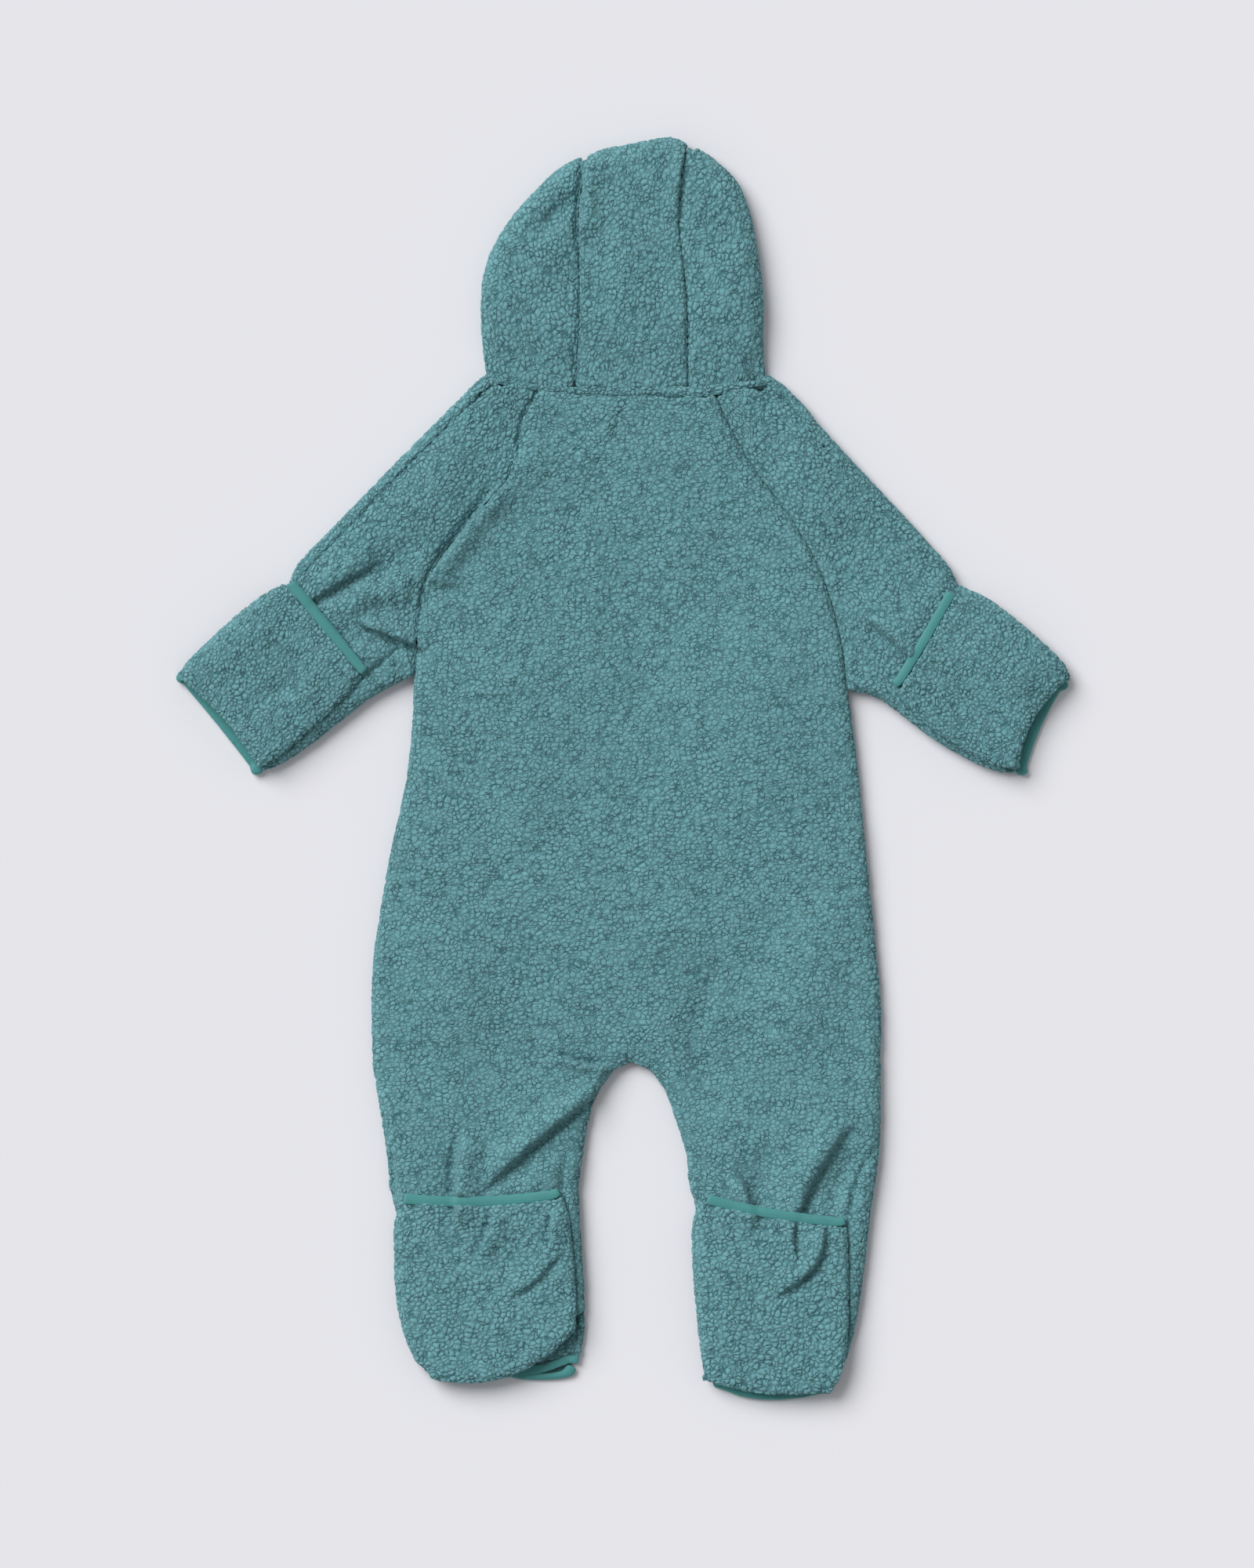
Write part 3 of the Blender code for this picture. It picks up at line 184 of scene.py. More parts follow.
# Creases and swells of the upper layer. A row runs through three points, in mm; height is
# up from the cloth, width is to one side, and it fades over its last third at both ends.
# lean is 0 where both sides are alike. Otherwise the row is a roll with a steep side and a
# hollow under it, on the right of the run for 1 and on the left for -1.
Crease = namedtuple("Crease", "name x0 y0 x1 y1 x2 y2 width height lean")
CREASES = tuple(Crease(*row) for row in (
    ("knee_left", 2, -190, -46, -228, -96, -272, 8.0, 6.6, -1),
    ("knee_left_lower", -26, -246, -50, -256, -72, -270, 7.0, 1.6, 0),
    ("thigh_left", -102, -222, -107, -256, -108, -294, 9.0, 6.0, 1),
    ("thigh_left_soft", -112, -180, -110, -210, -108, -240, 14.0, 1.6, 0),
    ("knee_right_roll", 106, -296, 122, -258, 148, -220, 10.0, 6.0, 1),
    ("knee_right", 128, -290, 138, -262, 154, -236, 6.0, -2.0, 0),
    ("knee_right_out", 138, -286, 144, -266, 152, -248, 6.0, 1.6, 0),
    ("knee_right_in", 86, -292, 81, -274, 70, -252, 7.0, 5.6, 1),
    ("knee_right_valley", 90, -280, 88, -256, 92, -232, 6.0, -3.0, 0),
    ("crotch_left", -52, -178, -26, -186, -2, -189, 4.5, 4.6, -1),
    ("crotch_right", 46, -160, 48, -180, 54, -204, 7.0, -3.0, 0),
    ("crotch_fan_left", -4, -178, -14, -160, -20, -140, 10.0, -1.5, 0),
    ("crotch_fan_right", 12, -178, 20, -158, 30, -138, 12.0, 1.5, 0),
    ("crotch_fan_far", 40, -172, 50, -150, 58, -122, 9.0, -2.4, 0),
    ("elbow_left_roll", -198, 96, -168, 110, -128, 120, 8.0, 5.0, 0),
    ("elbow_left_hollow", -208, 102, -184, 118, -152, 136, 9.0, 5.0, 1),
    ("elbow_left_over", -200, 116, -172, 140, -146, 162, 12.0, 2.8, 0),
    ("armpit_left", -172, 95, -152, 87, -124, 76, 6.0, 8.0, 1),
    ("armpit_left_fold", -130, 119, -114, 115, -94, 112, 4.5, -2.8, 0),
    ("armpit_left_roll", -176, 82, -158, 74, -138, 68, 6.0, 3.6, 0),
    ("elbow_right", 150, 101, 171, 82, 192, 62, 7.0, 4.6, 1),
    ("elbow_right_roll", 150, 112, 166, 100, 190, 84, 10.0, 3.0, 0),
    ("elbow_right_over", 186, 92, 194, 108, 200, 124, 9.0, 2.0, 0),
    ("raglan_left_roll", -72, 192, -97, 160.5, -130, 115, 8.0, 5.0, 1),
    ("raglan_left_neck", -50, 240, -56, 226, -62, 212, 8.0, 0.8, 0),
    ("shoulder_soft", -46, 214, -66, 190, -92, 160, 12.0, 2.6, 0),
    ("sleeve_left_swell", -96, 212, -122, 182, -150, 152, 14.0, 3.4, 0),
    ("sleeve_left_shade", -124, 154, -146, 132, -164, 114, 9.0, -2.6, 0),
    ("sleeve_right_swell", 98, 214, 126, 180, 154, 146, 14.0, 3.6, 0),
    ("calf_right_seam", 161, -238, 150, -256, 143, -286, 2.2, -2.4, 0),
    ("shin_left_seam", -36, -240, -40, -258, -37, -276, 2.2, -2.2, 0),
    ("calf_left_seam", -150, -238, -146, -256, -143, -274, 2.2, -2.2, 0),
    ("underarm_left_seam", -174, 56, -158, 66, -140, 81, 2.4, -2.4, 0),
    ("hood_fold", -30, 370, -42, 354, -56, 340, 6.5, -4.6, 0),
    ("hood_fold_soft", -36, 350, -46, 330, -50, 306, 12.0, 2.4, 0),
    ("hood_left_edge", -26, 398, -27, 364, -30, 330, 7.0, 4.4, 1),
    ("hood_left_edge_low", -29, 340, -28, 290, -29, 262, 7.0, 0.8, 0),
    ("hood_right_edge", 38, 250, 39, 300, 35, 352, 6.0, 1.2, 1),
    ("hood_right_top", 35, 340, 36, 372, 42, 402, 6.0, 3.2, 1),
    ("hood_side_soft", -58, 306, -62, 280, -64, 254, 14.0, -1.8, 0),
    ("hood_side_right_soft", 62, 346, 68, 310, 66, 274, 14.0, 2.0, 0),
    ("hood_centre_soft", 2, 388, 0, 340, 6, 286, 20.0, 2.0, 0),
    ("hood_corner", 79, 272, 82, 262, 86, 250, 5.0, -3.6, 0),
    ("mitten_left_swell", -272, 58, -250, 80, -222, 106, 14.0, 3.8, 0),
    ("mitten_left_soft", -204, 64, -222, 50, -242, 38, 9.0, -2.0, 0),
    ("mitten_left_ridge", -230, 72, -212, 60, -192, 42, 9.0, 1.8, 0),
    ("mitten_right_swell", 212, 86, 236, 70, 264, 48, 15.0, 3.8, 0),
    ("mitten_right_soft", 204, 56, 226, 40, 248, 22, 9.0, -2.0, 0),
    ("bootie_left_fold", -82, -274, -86, -292, -96, -312, 7.0, 4.0, 1),
    ("bootie_left_crease", -38, -304, -56, -324, -76, -338, 9.0, 2.4, -1),
    ("bootie_left_mark", -45, -276, -47, -290, -46, -306, 5.5, 3.2, 1),
    ("bootie_right_crease", 129, -282, 122, -314, 92, -338, 8.0, 4.8, -1),
    ("bootie_right_mark", 109, -284, 108, -298, 111, -314, 4.5, 2.8, -1),
    ("bootie_right_soft", 60, -300, 66, -330, 70, -356, 12.0, 1.6, 0),
    ("back_drape", -96, 90, -70, 30, -50, -40, 26.0, 4.0, 0),
    ("back_drape_right", 88, 120, 92, 30, 84, -60, 26.0, 3.6, 0),
    ("back_hollow", -12, 170, 8, 60, -4, -50, 30.0, -3.2, 0),
    ("back_low", -50, -50, 0, -92, 64, -112, 22.0, 3.4, 0),
    ("hip_left", -126, -80, -110, -126, -98, -180, 20.0, 3.6, 0),
    ("hip_right", 132, -80, 116, -136, 104, -190, 20.0, 3.6, 0),
))
CREASE_FADE, CREASE_REACH, DEEPEST_CREASE = 0.33, 170.0, -4.2

# The section of a leaning crease: where its roll, its hollow and its darkest line lie and
# how wide they are, in widths of the crease, and how deep the hollow is to the roll
ROLL, HOLLOW, FOLD = (0.4, 0.95), (-0.36, 0.34), (-0.16, 0.2)
HOLLOW_DEPTH, FOLD_SHADE = 0.45, 0.7

# Creases of the under layer, which lies on the floor: only soft and shallow.
UNDER_CREASES = tuple(Crease(*row) for row in (
    ("knee_left", -30, -212, -60, -236, -104, -262, 6.0, -1.2, 0),
    ("knee_right", 70, -232, 96, -252, 128, -262, 6.0, -1.2, 0),
    ("waist_left", -40, -20, -80, -34, -120, -30, 9.0, -0.9, 0),
    ("waist_right", 44, -14, 80, -26, 122, -34, 9.0, -0.9, 0),
    ("armpit_left", -150, 92, -136, 84, -118, 82, 5.0, -1.1, 0),
    ("armpit_right", 152, 86, 138, 80, 122, 76, 5.0, -1.1, 0),
))

# The tapes, smooth and matte: what they are sewn to, how much fuller than the solid they are,
# and, where one runs on to its panel's end, how many times longer it is made from x, y
Tape = namedtuple("Tape", "node on swell x y times", defaults=(0.0, 0.0, 1.0))
TAPES = (
    Tape("ankle_binding_left", "front_left", 0.4),
    Tape("ankle_binding_right", "front_right", 0.6),
    Tape("cuff_binding_left", "sleeve_front_left", 1.3, -241.0, -3.0, 1.07),
    Tape("cuff_binding_right", "sleeve_front_right", 1.4),
    Tape("mitten_binding_left", "mitten_flap_left", -0.75, -165.7, 64.2, 1.22),
    Tape("mitten_binding_right", "mitten_flap_right", -0.55, 173.5, 50.5, 1.12),
    Tape("bootie_binding_left", "bootie_flap_left", -0.45, -41.5, -268.7, 1.17),
    Tape("bootie_binding_right", "bootie_flap_right", -0.45, 141.8, -286.2, 1.14),
    Tape("hood_binding", "hood_side_left", 0.1),
)

# How much of a crease a tape takes, how high it lies when it takes none and all of that, in
# mm, and the share of its swell that goes upwards
TAPE_CREASED, TAPE_LIES, TAPE_SWELL_UP = 0.12, (3.0, 6.0), 0.3

# The under side of the left leg's opening: its tape turns up to the upper one at the end.
# Columns: x, y, z, and half its width, in mm.
OPENING = (
    (-76.0, -384.4, 2.0, 1.4),
    (-66.0, -385.9, 2.2, 1.9),
    (-56.0, -386.1, 2.3, 2.1),
    (-46.0, -385.7, 2.3, 2.2),
    (-39.0, -384.4, 2.4, 2.7),
    (-35.0, -382.2, 2.8, 3.7),
    (-33.4, -379.0, 3.4, 4.0),
)
OPENING_THICK = 1.5

# A dark sheet of painted shade for the leg's inside that shows between the tapes. Columns as
# above.
INSIDE_SHADE = (
    (-72.0, -383.2, 1.3, 2.0),
    (-60.0, -383.4, 1.5, 4.2),
    (-48.0, -382.4, 1.7, 5.0),
    (-38.0, -380.8, 1.9, 4.6),
    (-33.0, -379.4, 2.0, 3.4),
)
INSIDE_SHADE_THICK = 0.9

# The oval section of those two: its corners, and how squarely its ends are rounded
OVAL_CORNERS, END_POWER = 16, 8

# Colours, linear RGB
# The gaps' colour is painted shade in the crevices between the clumps of pile
GAP_SHADE = (0.050, 0.162, 0.184)
PILE = (0.124, 0.312, 0.343)
TIP = (0.166, 0.374, 0.408)
TAPE_COLOUR = (0.050, 0.262, 0.258)
TAPE_DARK = (0.036, 0.200, 0.198)
# SHADED is the colour of the painted shade inside the leg's opening
SHADED = (0.014, 0.052, 0.060)
ZIP_TAPE = (0.055, 0.235, 0.228)
METAL = (0.55, 0.56, 0.57)
FLOOR = (0.80, 0.80, 0.84)

# The height of the pile at which it has the gaps' painted shade, its own and the tips' colour,
# and the shares by which fibres, mottle, grain and painted shade in grooves and folds change a
# colour
GAP_SHADE_AT, PILE_AT, TIP_AT = 0.05, 0.42, 0.95
FIBRE_TONE, MOTTLE_TONE = (0.82, 1.18), (0.94, 1.06)
GROOVE_SHADE_TONE, GRAIN_TONE, TAPE_MOTTLE = 0.66, 0.82, 0.35

# The zip, in mm: where its teeth run under the tape, a tooth, the hook that it ends in, and
# how far from the middle a row of teeth stands
ZIP_X, ZIP_FOOT, ZIP_FACE_Z = 3.2, -138.0, 2.32
TOOTH, TOOTH_PITCH, TOOTH_COUNT = (1.3, 0.8, 0.9), 1.6, 222
TOOTH_OUT, HOOK_LONG, HOOK_OUT = 0.8, 0.5, 0.1

# The slider, in mm: its place, its body with a neck and a pressed panel, and its grip with
# a tip and a dished face
SLIDER_AT = (2.6, 226.0, 1.35)
BODY, NECK, PANEL_IN, PANEL_RISE = (5.6, 9.6, 1.5), 1.4, 1.5, 0.35
GRIP, GRIP_UP, GRIP_Z, TIP_LONG = (3.6, 7.0, 0.6), 0.8, 0.42, 4.6
DISH_IN, DISH_DEEP = 0.7, 0.22
SHARP_EDGE = 35.0

# A face looks along an axis when that part of its normal is over this
FACING = 0.9

# The floor, in m
FLOOR_SIDE, FLOOR_Z = 12.0, -0.0002

# The light: an even one from all round, and a broad one from KEY_FROM
WORLD_STRENGTH = 0.36
KEY_FROM = (-0.66, 0.64, 0.85)
KEY_STRENGTH = 2.87
KEY_WIDTH = 42.0

# The camera looks straight down. PHOTO_MM is what the frame's 2000 rows show. The height
# and the end of its view are in m, and its place is in mm in the pattern's frame.
PHOTO_MM = 1000.0
CAMERA_HEIGHT, VIEW_END = 6.0, 50.0
CAMERA_AT = (1.75, -8.25)


# ---------------- numbers
def smooth_line(points, per_span=10):
    """The points joined by a Catmull-Rom curve."""
    points = np.array(points, float)
    knots = np.vstack([2 * points[0] - points[1], points, 2 * points[-1] - points[-2]])
    t = np.linspace(0, 1, per_span, endpoint=False)[:, None]
    runs = [
        0.5 * (2 * b + (c - a) * t + (2 * a - 5 * b + 4 * c - d) * t**2
               + (3 * b - a - 3 * c + d) * t**3)
        for a, b, c, d in zip(knots, knots[1:], knots[2:], knots[3:])
    ]
    return np.vstack(runs + [points[-1:]])


def near_line(points, line):
    """How far each point lies from the line in plan, more than 0 on its left, and its place
    along the line, from 0 to 1."""
    starts, along = line[:-1], np.diff(line, axis=0)
    span = np.linalg.norm(along, axis=1)
    reach = np.concatenate([[0.0], np.cumsum(span)])
    best = np.full(len(points), 1e9)
    place = np.zeros(len(points))
    for k in range(len(starts)):
        offset = points[:, :2] - starts[k]
        share = np.clip(offset @ along[k] / span[k] ** 2, 0, 1)
        apart = np.linalg.norm(offset - share[:, None] * along[k], axis=1)
        left = along[k, 0] * offset[:, 1] - along[k, 1] * offset[:, 0]
        nearer = apart < np.abs(best)
        best[nearer] = np.where(left > 0, apart, -apart)[nearer]
        place[nearer] = (reach[k] + share[nearer] * span[k]) / reach[-1]
    return best, place


def ease(value, low, high):
    """0 up to low, 1 from high on, and smooth between them."""
    share = np.clip((value - low) / (high - low), 0, 1)
    return share * share * (3 - 2 * share)


def scattered(cells, seed):
    """A repeatable value from 0 to 1 for each whole-numbered cell."""
    key = cells[..., 0] * 73856093 ^ cells[..., 1] * 19349663 ^ cells[..., 2] * 83492791
    key = (key ^ seed * 2654435761) & 0xFFFFFFFF
    for turn in (15, 13):
        key = (key ^ key >> turn) * 2246822519 & 0xFFFFFFFF
    return (key ^ key >> 16) / 0xFFFFFFFF


def soft_noise(points, size, seed):
    """Smooth noise from -1 to 1 whose waves are about this size."""
    places = points / size
    base = np.floor(places).astype(np.int64)
    share = places - base
    share = share * share * (3 - 2 * share)
    total = np.zeros(len(points))
    for corner in np.ndindex(2, 2, 2):
        weight = np.prod(np.where(corner, share, 1 - share), axis=1)
        total += weight * scattered(base + corner, seed)
    return total * 2 - 1


# ---------------- cloth
def merged_copy(node):
    """The node's points, in mm in the pattern's frame, and its triangles, welded."""
    bm = bmesh.new()
    bm.from_mesh(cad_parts[node].data)
    bmesh.ops.remove_doubles(bm, verts=bm.verts[:], dist=0.000005)
    bmesh.ops.triangulate(bm, faces=bm.faces[:])
    bm.verts.index_update()
    points = np.array([vert.co[:] for vert in bm.verts]) / MM - ORIGIN
    triangles = np.array([[vert.index for vert in face.verts] for face in bm.faces])
    bm.free()
    return points, triangles


def point_normals(points, triangles):
    """The mean normal at each point, by the angles of the triangles there."""
    a, b, c = (points[triangles[:, k]] for k in range(3))
    face = np.cross(b - a, c - a)
    face /= np.maximum(np.linalg.norm(face, axis=1), 1e-12)[:, None]
    angles = []
    for here, after, before in ((a, b, c), (b, c, a), (c, a, b)):
        to_next, to_last = after - here, before - here
        lengths = np.linalg.norm(to_next, axis=1) * np.linalg.norm(to_last, axis=1)
        cosine = np.sum(to_next * to_last, axis=1) / np.maximum(lengths, 1e-12)
        angles.append(np.arccos(np.clip(cosine, -1, 1)))
    corners = triangles.T.ravel()
    share = np.concatenate(angles)
    total = np.stack(
        [np.bincount(corners, share * np.tile(face[:, k], 3), len(points)) for k in range(3)],
        axis=1,
    )
    return total / np.maximum(np.linalg.norm(total, axis=1), 1e-12)[:, None]


def surface_samples(points, triangles, dice):
    """Points scattered evenly over a surface."""
    a, b, c = (points[triangles[:, k]] for k in range(3))
    area = np.linalg.norm(np.cross(b - a, c - a), axis=1) / 2
    pick = np.repeat(np.arange(len(triangles)), np.ceil(area * MAP_POINTS).astype(int))
    u, v = dice.random((2, len(pick)))
    over = u + v > 1
    u, v = np.where(over, 1 - u, u), np.where(over, 1 - v, v)
    return a[pick] + u[:, None] * (b - a)[pick] + v[:, None] * (c - a)[pick]


def cell_of(points):
    """The maps' cell under each point."""
    cells = np.floor(points[:, :2] - MAP_CORNER).astype(int)
    return tuple(np.clip(cells, 0, np.array(MAP_CELLS) - 1).T)


def spread(field, reach, pick):
    """Each cell takes the largest or smallest value within reach cells of it."""
    for axis in (0, 1):
        field = pick.reduce([np.roll(field, k, axis) for k in range(-reach, reach + 1)])
    return field


def cover_maps(nodes):
    """Over each square millimetre, how high a point has to be to show from above, and how low
    to show from below."""
    dice = np.random.default_rng(7)
    crown, sole = np.full(MAP_CELLS, -99.0), np.full(MAP_CELLS, 99.0)
    for node in nodes:
        places = surface_samples(*merged_copy(node), dice)
        np.maximum.at(crown, cell_of(places), places[:, 2])
        np.minimum.at(sole, cell_of(places), places[:, 2])
    crown = spread(spread(crown, 1, np.maximum), 3, np.minimum)
    sole = spread(spread(sole, 1, np.minimum), 3, np.maximum)
    return crown, sole


def shown(points, normals, covers):
    """How much each point shows from above, and how much from below."""
    crown, sole = covers
    cells = cell_of(points)
    above = ease(points[:, 2] - crown[cells], HIDDEN_UNDER, SHOWN_UNDER)
    below = ease(sole[cells] - points[:, 2], HIDDEN_UNDER, SHOWN_UNDER)
    return above * ease(normals[:, 2], *FACES_UP), below * ease(-normals[:, 2], *FACES_DOWN)


def wanted_spacing(points, normals, cloth, covers):
    """How far apart the points should be at each of them, in mm."""
    above, below = shown(points, normals, covers)
    return np.minimum(HIDDEN_SPACING + (cloth.spacing - HIDDEN_SPACING) * above,
                      HIDDEN_SPACING + (UNDER_SPACING - HIDDEN_SPACING) * below)


def edges_of(points, triangles):
    """The edges, as pairs of points, and which of them each triangle has: 01, 12, 20."""
    sides = np.concatenate([triangles[:, [0, 1]], triangles[:, [1, 2]], triangles[:, [2, 0]]])
    keys = sides.min(axis=1) * len(points) + sides.max(axis=1)
    keys, index = np.unique(keys, return_inverse=True)
    return np.stack([keys // len(points), keys % len(points)], axis=1), index.reshape(3, -1).T


def split_long(points, triangles, spacing_of):
    """Splits edges at their middles until each is about as long as the spacing there."""
    for _ in range(SPLIT_ROUNDS):
        pairs, index = edges_of(points, triangles)
        apart = np.linalg.norm(points[pairs[:, 0]] - points[pairs[:, 1]], axis=1)
        spacing = spacing_of(points, triangles)
        wanted = (spacing[pairs[:, 0]] + spacing[pairs[:, 1]]) / 2
        longest = np.zeros(len(pairs))
        for k in range(3):
            np.maximum.at(longest, index[:, k], apart[index].max(axis=1))
        split = (apart > wanted * SPLIT_OVER) & (apart > longest * SPLIT_BESIDE)
        if split.sum() < len(pairs) * SPLIT_FEW:
            break
        middle = np.full(len(pairs), -1)
        middle[split] = len(points) + np.arange(split.sum())
        points = np.vstack([points, points[pairs[split]].mean(axis=1)])
        triangles = np.vstack(list(parts(triangles, middle[index], points)))
    return points, triangles


def parts(triangles, middles, points):
    """The triangles, each cut where its edges have middles, a row for edges 01, 12, 20."""
    count = (middles >= 0).sum(axis=1)
    yield triangles[count == 0]
    for turn in range(3):
        order = [(turn + k) % 3 for k in range(3)]
        corner, mid = triangles[:, order], middles[:, order]
        one = (count == 1) & (mid[:, 0] >= 0)
        a, b, c = corner[one].T
        m = mid[one, 0]
        yield np.stack([a, m, c], axis=1)
        yield np.stack([m, b, c], axis=1)
        two = (count == 2) & (mid[:, 2] < 0)
        a, b, c = corner[two].T
        m, n = mid[two, 0], mid[two, 1]
        yield np.stack([m, b, n], axis=1)
        short = np.linalg.norm(points[a] - points[n], axis=1) < np.linalg.norm(
            points[m] - points[c], axis=1)
        yield np.where(short[:, None], np.stack([a, m, n], axis=1), np.stack([a, m, c], axis=1))
        yield np.where(short[:, None], np.stack([a, n, c], axis=1), np.stack([m, n, c], axis=1))
    a, b, c = triangles[count == 3].T
    m, n, o = middles[count == 3].T
    yield np.stack([a, m, o], axis=1)
    yield np.stack([m, b, n], axis=1)
    yield np.stack([o, n, c], axis=1)
    yield np.stack([m, n, o], axis=1)


def relaxed(points, triangles, share, rounds):
    """Evens out the facets: each point moves towards the mean of its neighbours."""
    pairs, _ = edges_of(points, triangles)
    first, second = np.concatenate([pairs, pairs[:, ::-1]]).T
    count = np.bincount(first, minlength=len(points))
    for _ in range(rounds):
        mean = [np.bincount(first, points[second, k], len(points)) / count for k in range(3)]
        points = points + (np.stack(mean, axis=1) - points) * share[:, None]
    return points


def hump(across, middle=0.0, width=1.0):
    """A soft hump of height 1."""
    return np.exp(-(((across - middle) / width) ** 2))


def profile(across, lean):
    """A crease's height across its run, in its own widths."""
    if not lean:
        return hump(across)
    roll = hump(across, *ROLL) * ease(across, -0.16, 0.12)
    return roll - HOLLOW_DEPTH * hump(across, *HOLLOW)


def creased(points, creases):
    """How far the creases raise each point, and how deep it lies in a fold, from 0 to 1."""
    rise, deep = np.zeros(len(points)), np.zeros(len(points))
    for crease in creases:
        line = smooth_line([(crease.x0, crease.y0), (crease.x1, crease.y1),
                            (crease.x2, crease.y2)])
        near = np.abs(points[:, :2] - line.mean(axis=0)).max(axis=1) < CREASE_REACH
        apart, place = near_line(points[near], line)
        across = apart * (crease.lean or 1) / crease.width
        fade = ease(np.minimum(place, 1 - place), -0.02, CREASE_FADE)
        rise[near] += crease.height * fade * profile(across, crease.lean)
        if crease.lean:
            deep[near] = np.maximum(deep[near], fade * hump(across, *FOLD))
    return rise, deep


def turned(points, degrees):
    """The points turned about the upright axis."""
    angle = math.radians(-degrees)
    c, s = math.cos(angle), math.sin(angle)
    x = points[:, 0] * c - points[:, 1] * s
    y = points[:, 0] * s + points[:, 1] * c
    return np.stack([x, y, points[:, 2]], axis=1)


def seam_depth(points):
    """1 in a seam's groove and 0 away from it."""
    share = np.zeros(len(points))
    for line in SEAMS.values():
        line = smooth_line(line)
        low, high = line.min(axis=0) - SEAM_REACH, line.max(axis=0) + SEAM_REACH
        near = np.all((points[:, :2] > low) & (points[:, :2] < high), axis=1)
        apart, _ = near_line(points[near], line)
        share[near] = np.maximum(share[near], hump(apart, width=SEAM_WIDTH))
    return share


def tugged(points, node):
    """The points with their node's tugs applied, each fading out around its place."""
    moved = points.copy()
    for tug in TUGS:
        if tug.node == node:
            apart = np.linalg.norm(points[:, :2] - (tug.x, tug.y), axis=1)
            moved += hump(apart, width=tug.width)[:, None] * (tug.dx, tug.dy, tug.dz)
    return moved


def mesh_object(name, points, faces):
    """A smooth object from points in mm in the pattern's frame."""
    mesh = bpy.data.meshes.new(name)
    mesh.from_pydata(((points + ORIGIN) * MM).tolist(), [], faces)
    mesh.polygons.foreach_set("use_smooth", np.ones(len(faces), bool))
    obj = bpy.data.objects.new(name, mesh)
    bpy.context.scene.collection.objects.link(obj)
    return obj


def dress(obj, look):
    """Leaves the piece with this one material."""
    obj.data.materials.clear()
    obj.data.materials.append(look)


def store(mesh, name, values):
    """Keeps a number or a vector for each point, for the material to read."""
    vector = values.ndim == 2
    layer = mesh.attributes.new(name, "FLOAT_VECTOR" if vector else "FLOAT", "POINT")
    layer.data.foreach_set("vector" if vector else "value",
                           values.astype(np.float32).ravel())


def pile_reader():
    """Geometry nodes that store the pile's height at each point, from the cloth's flow."""
    group = bpy.data.node_groups.new("pile_reader", "GeometryNodeTree")
    group.interface.new_socket("Geometry", in_out="INPUT", socket_type="NodeSocketGeometry")
    group.interface.new_socket("Geometry", in_out="OUTPUT", socket_type="NodeSocketGeometry")
    start, end = group.nodes.new("NodeGroupInput"), group.nodes.new("NodeGroupOutput")
    flow = group.nodes.new("GeometryNodeInputNamedAttribute")
    flow.data_type = "FLOAT_VECTOR"
    flow.inputs["Name"].default_value = "flow"
    keep = group.nodes.new("GeometryNodeStoreNamedAttribute")
    keep.data_type, keep.domain = "FLOAT", "POINT"
    keep.inputs["Name"].default_value = "pile"
    group.links.new(start.outputs[0], keep.inputs["Geometry"])
    group.links.new(pile_nodes(group, flow.outputs["Attribute"]), keep.inputs["Value"])
    group.links.new(keep.outputs[0], end.inputs[0])
    return group


def pile_height(obj, reader):
    """The pile's height at each point of the object, as its material draws it."""
    modifier = obj.modifiers.new("pile", "NODES")
    modifier.node_group = reader
    graph = bpy.context.evaluated_depsgraph_get()
    mesh = obj.evaluated_get(graph).data
    height = np.empty(len(mesh.vertices), np.float32)
    mesh.attributes["pile"].data.foreach_get("value", height)
    obj.modifiers.remove(modifier)
    return height.astype(float)


def make_fleece(cloth, look, covers, reader):
    """A piece of curled fleece on its solid: even points, creases, seams and then the clumps."""
    points, triangles = merged_copy(cloth.node)
    points, triangles = split_long(
        points, triangles,
        lambda p, t: wanted_spacing(p, point_normals(p, t), cloth, covers),
    )
    normals = point_normals(points, triangles)
    above, below = shown(points, normals, covers)
    visible = np.maximum(above, below)
    points = relaxed(points, triangles, RELAX * visible, RELAX_ROUNDS)
    normals = point_normals(points, triangles)
    rise, deep = creased(points, CREASES)
    # The groove mask presses the pile in seams and folds, and darkens its colour there with
    # painted shade
    groove_and_shade = np.maximum(seam_depth(points), FOLD_SHADE * deep) * above
    up = ease(normals[:, 2], *LEVEL) * above
    down = ease(-normals[:, 2], *LEVEL) * below
    edge = (1 - ease(np.abs(normals[:, 2]), *NO_EDGE)) * visible
    points += normals * (EDGE_LET_OUT * edge)[:, None] * (1, 1, 0)
    waves = sum(soft_noise(points, length, seed) * height for length, height, seed in WAVES)
    rise = np.maximum(rise, DEEPEST_CREASE)
    points[:, 2] += above * (rise + waves) * np.maximum(up, 0.5) - up * SEAM_SINK * groove_and_shade
    lift = np.clip(waves, 0, 1) - np.minimum(creased(points, UNDER_CREASES)[0], 0)
    points[:, 2] += down * lift
    points = tugged(points, cloth.node)
    points[:, 2] = np.maximum(points[:, 2], 0.0)
    normals = point_normals(points, triangles)
    flow = turned(points, cloth.turn)
    wander = np.stack([soft_noise(flow, WANDER_SIZE, 31 + k) for k in range(3)], axis=1)
    flow = (flow + WANDER * wander) / (np.array(CLUMP) * cloth.clump)
    obj = mesh_object(cloth.node + "_fleece", points, triangles.tolist())
    store(obj.data, "flow", flow)
    store(obj.data, "groove_and_shade", groove_and_shade)
    pile = pile_height(obj, reader)
    height = CLUMP_HEIGHT * (1 - GROOVE_PRESS * groove_and_shade)
    height = height + (PRESSED_HEIGHT - height) * down
    points = points + normals * (visible * height * (pile - PILE_ROOT))[:, None]
    points[:, 2] = np.maximum(points[:, 2], 0.0)
    obj.data.vertices.foreach_set("co", ((points + ORIGIN) * MM).astype(np.float32).ravel())
    obj.data.update()
    dress(obj, look)
    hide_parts(cloth.node)
    return obj


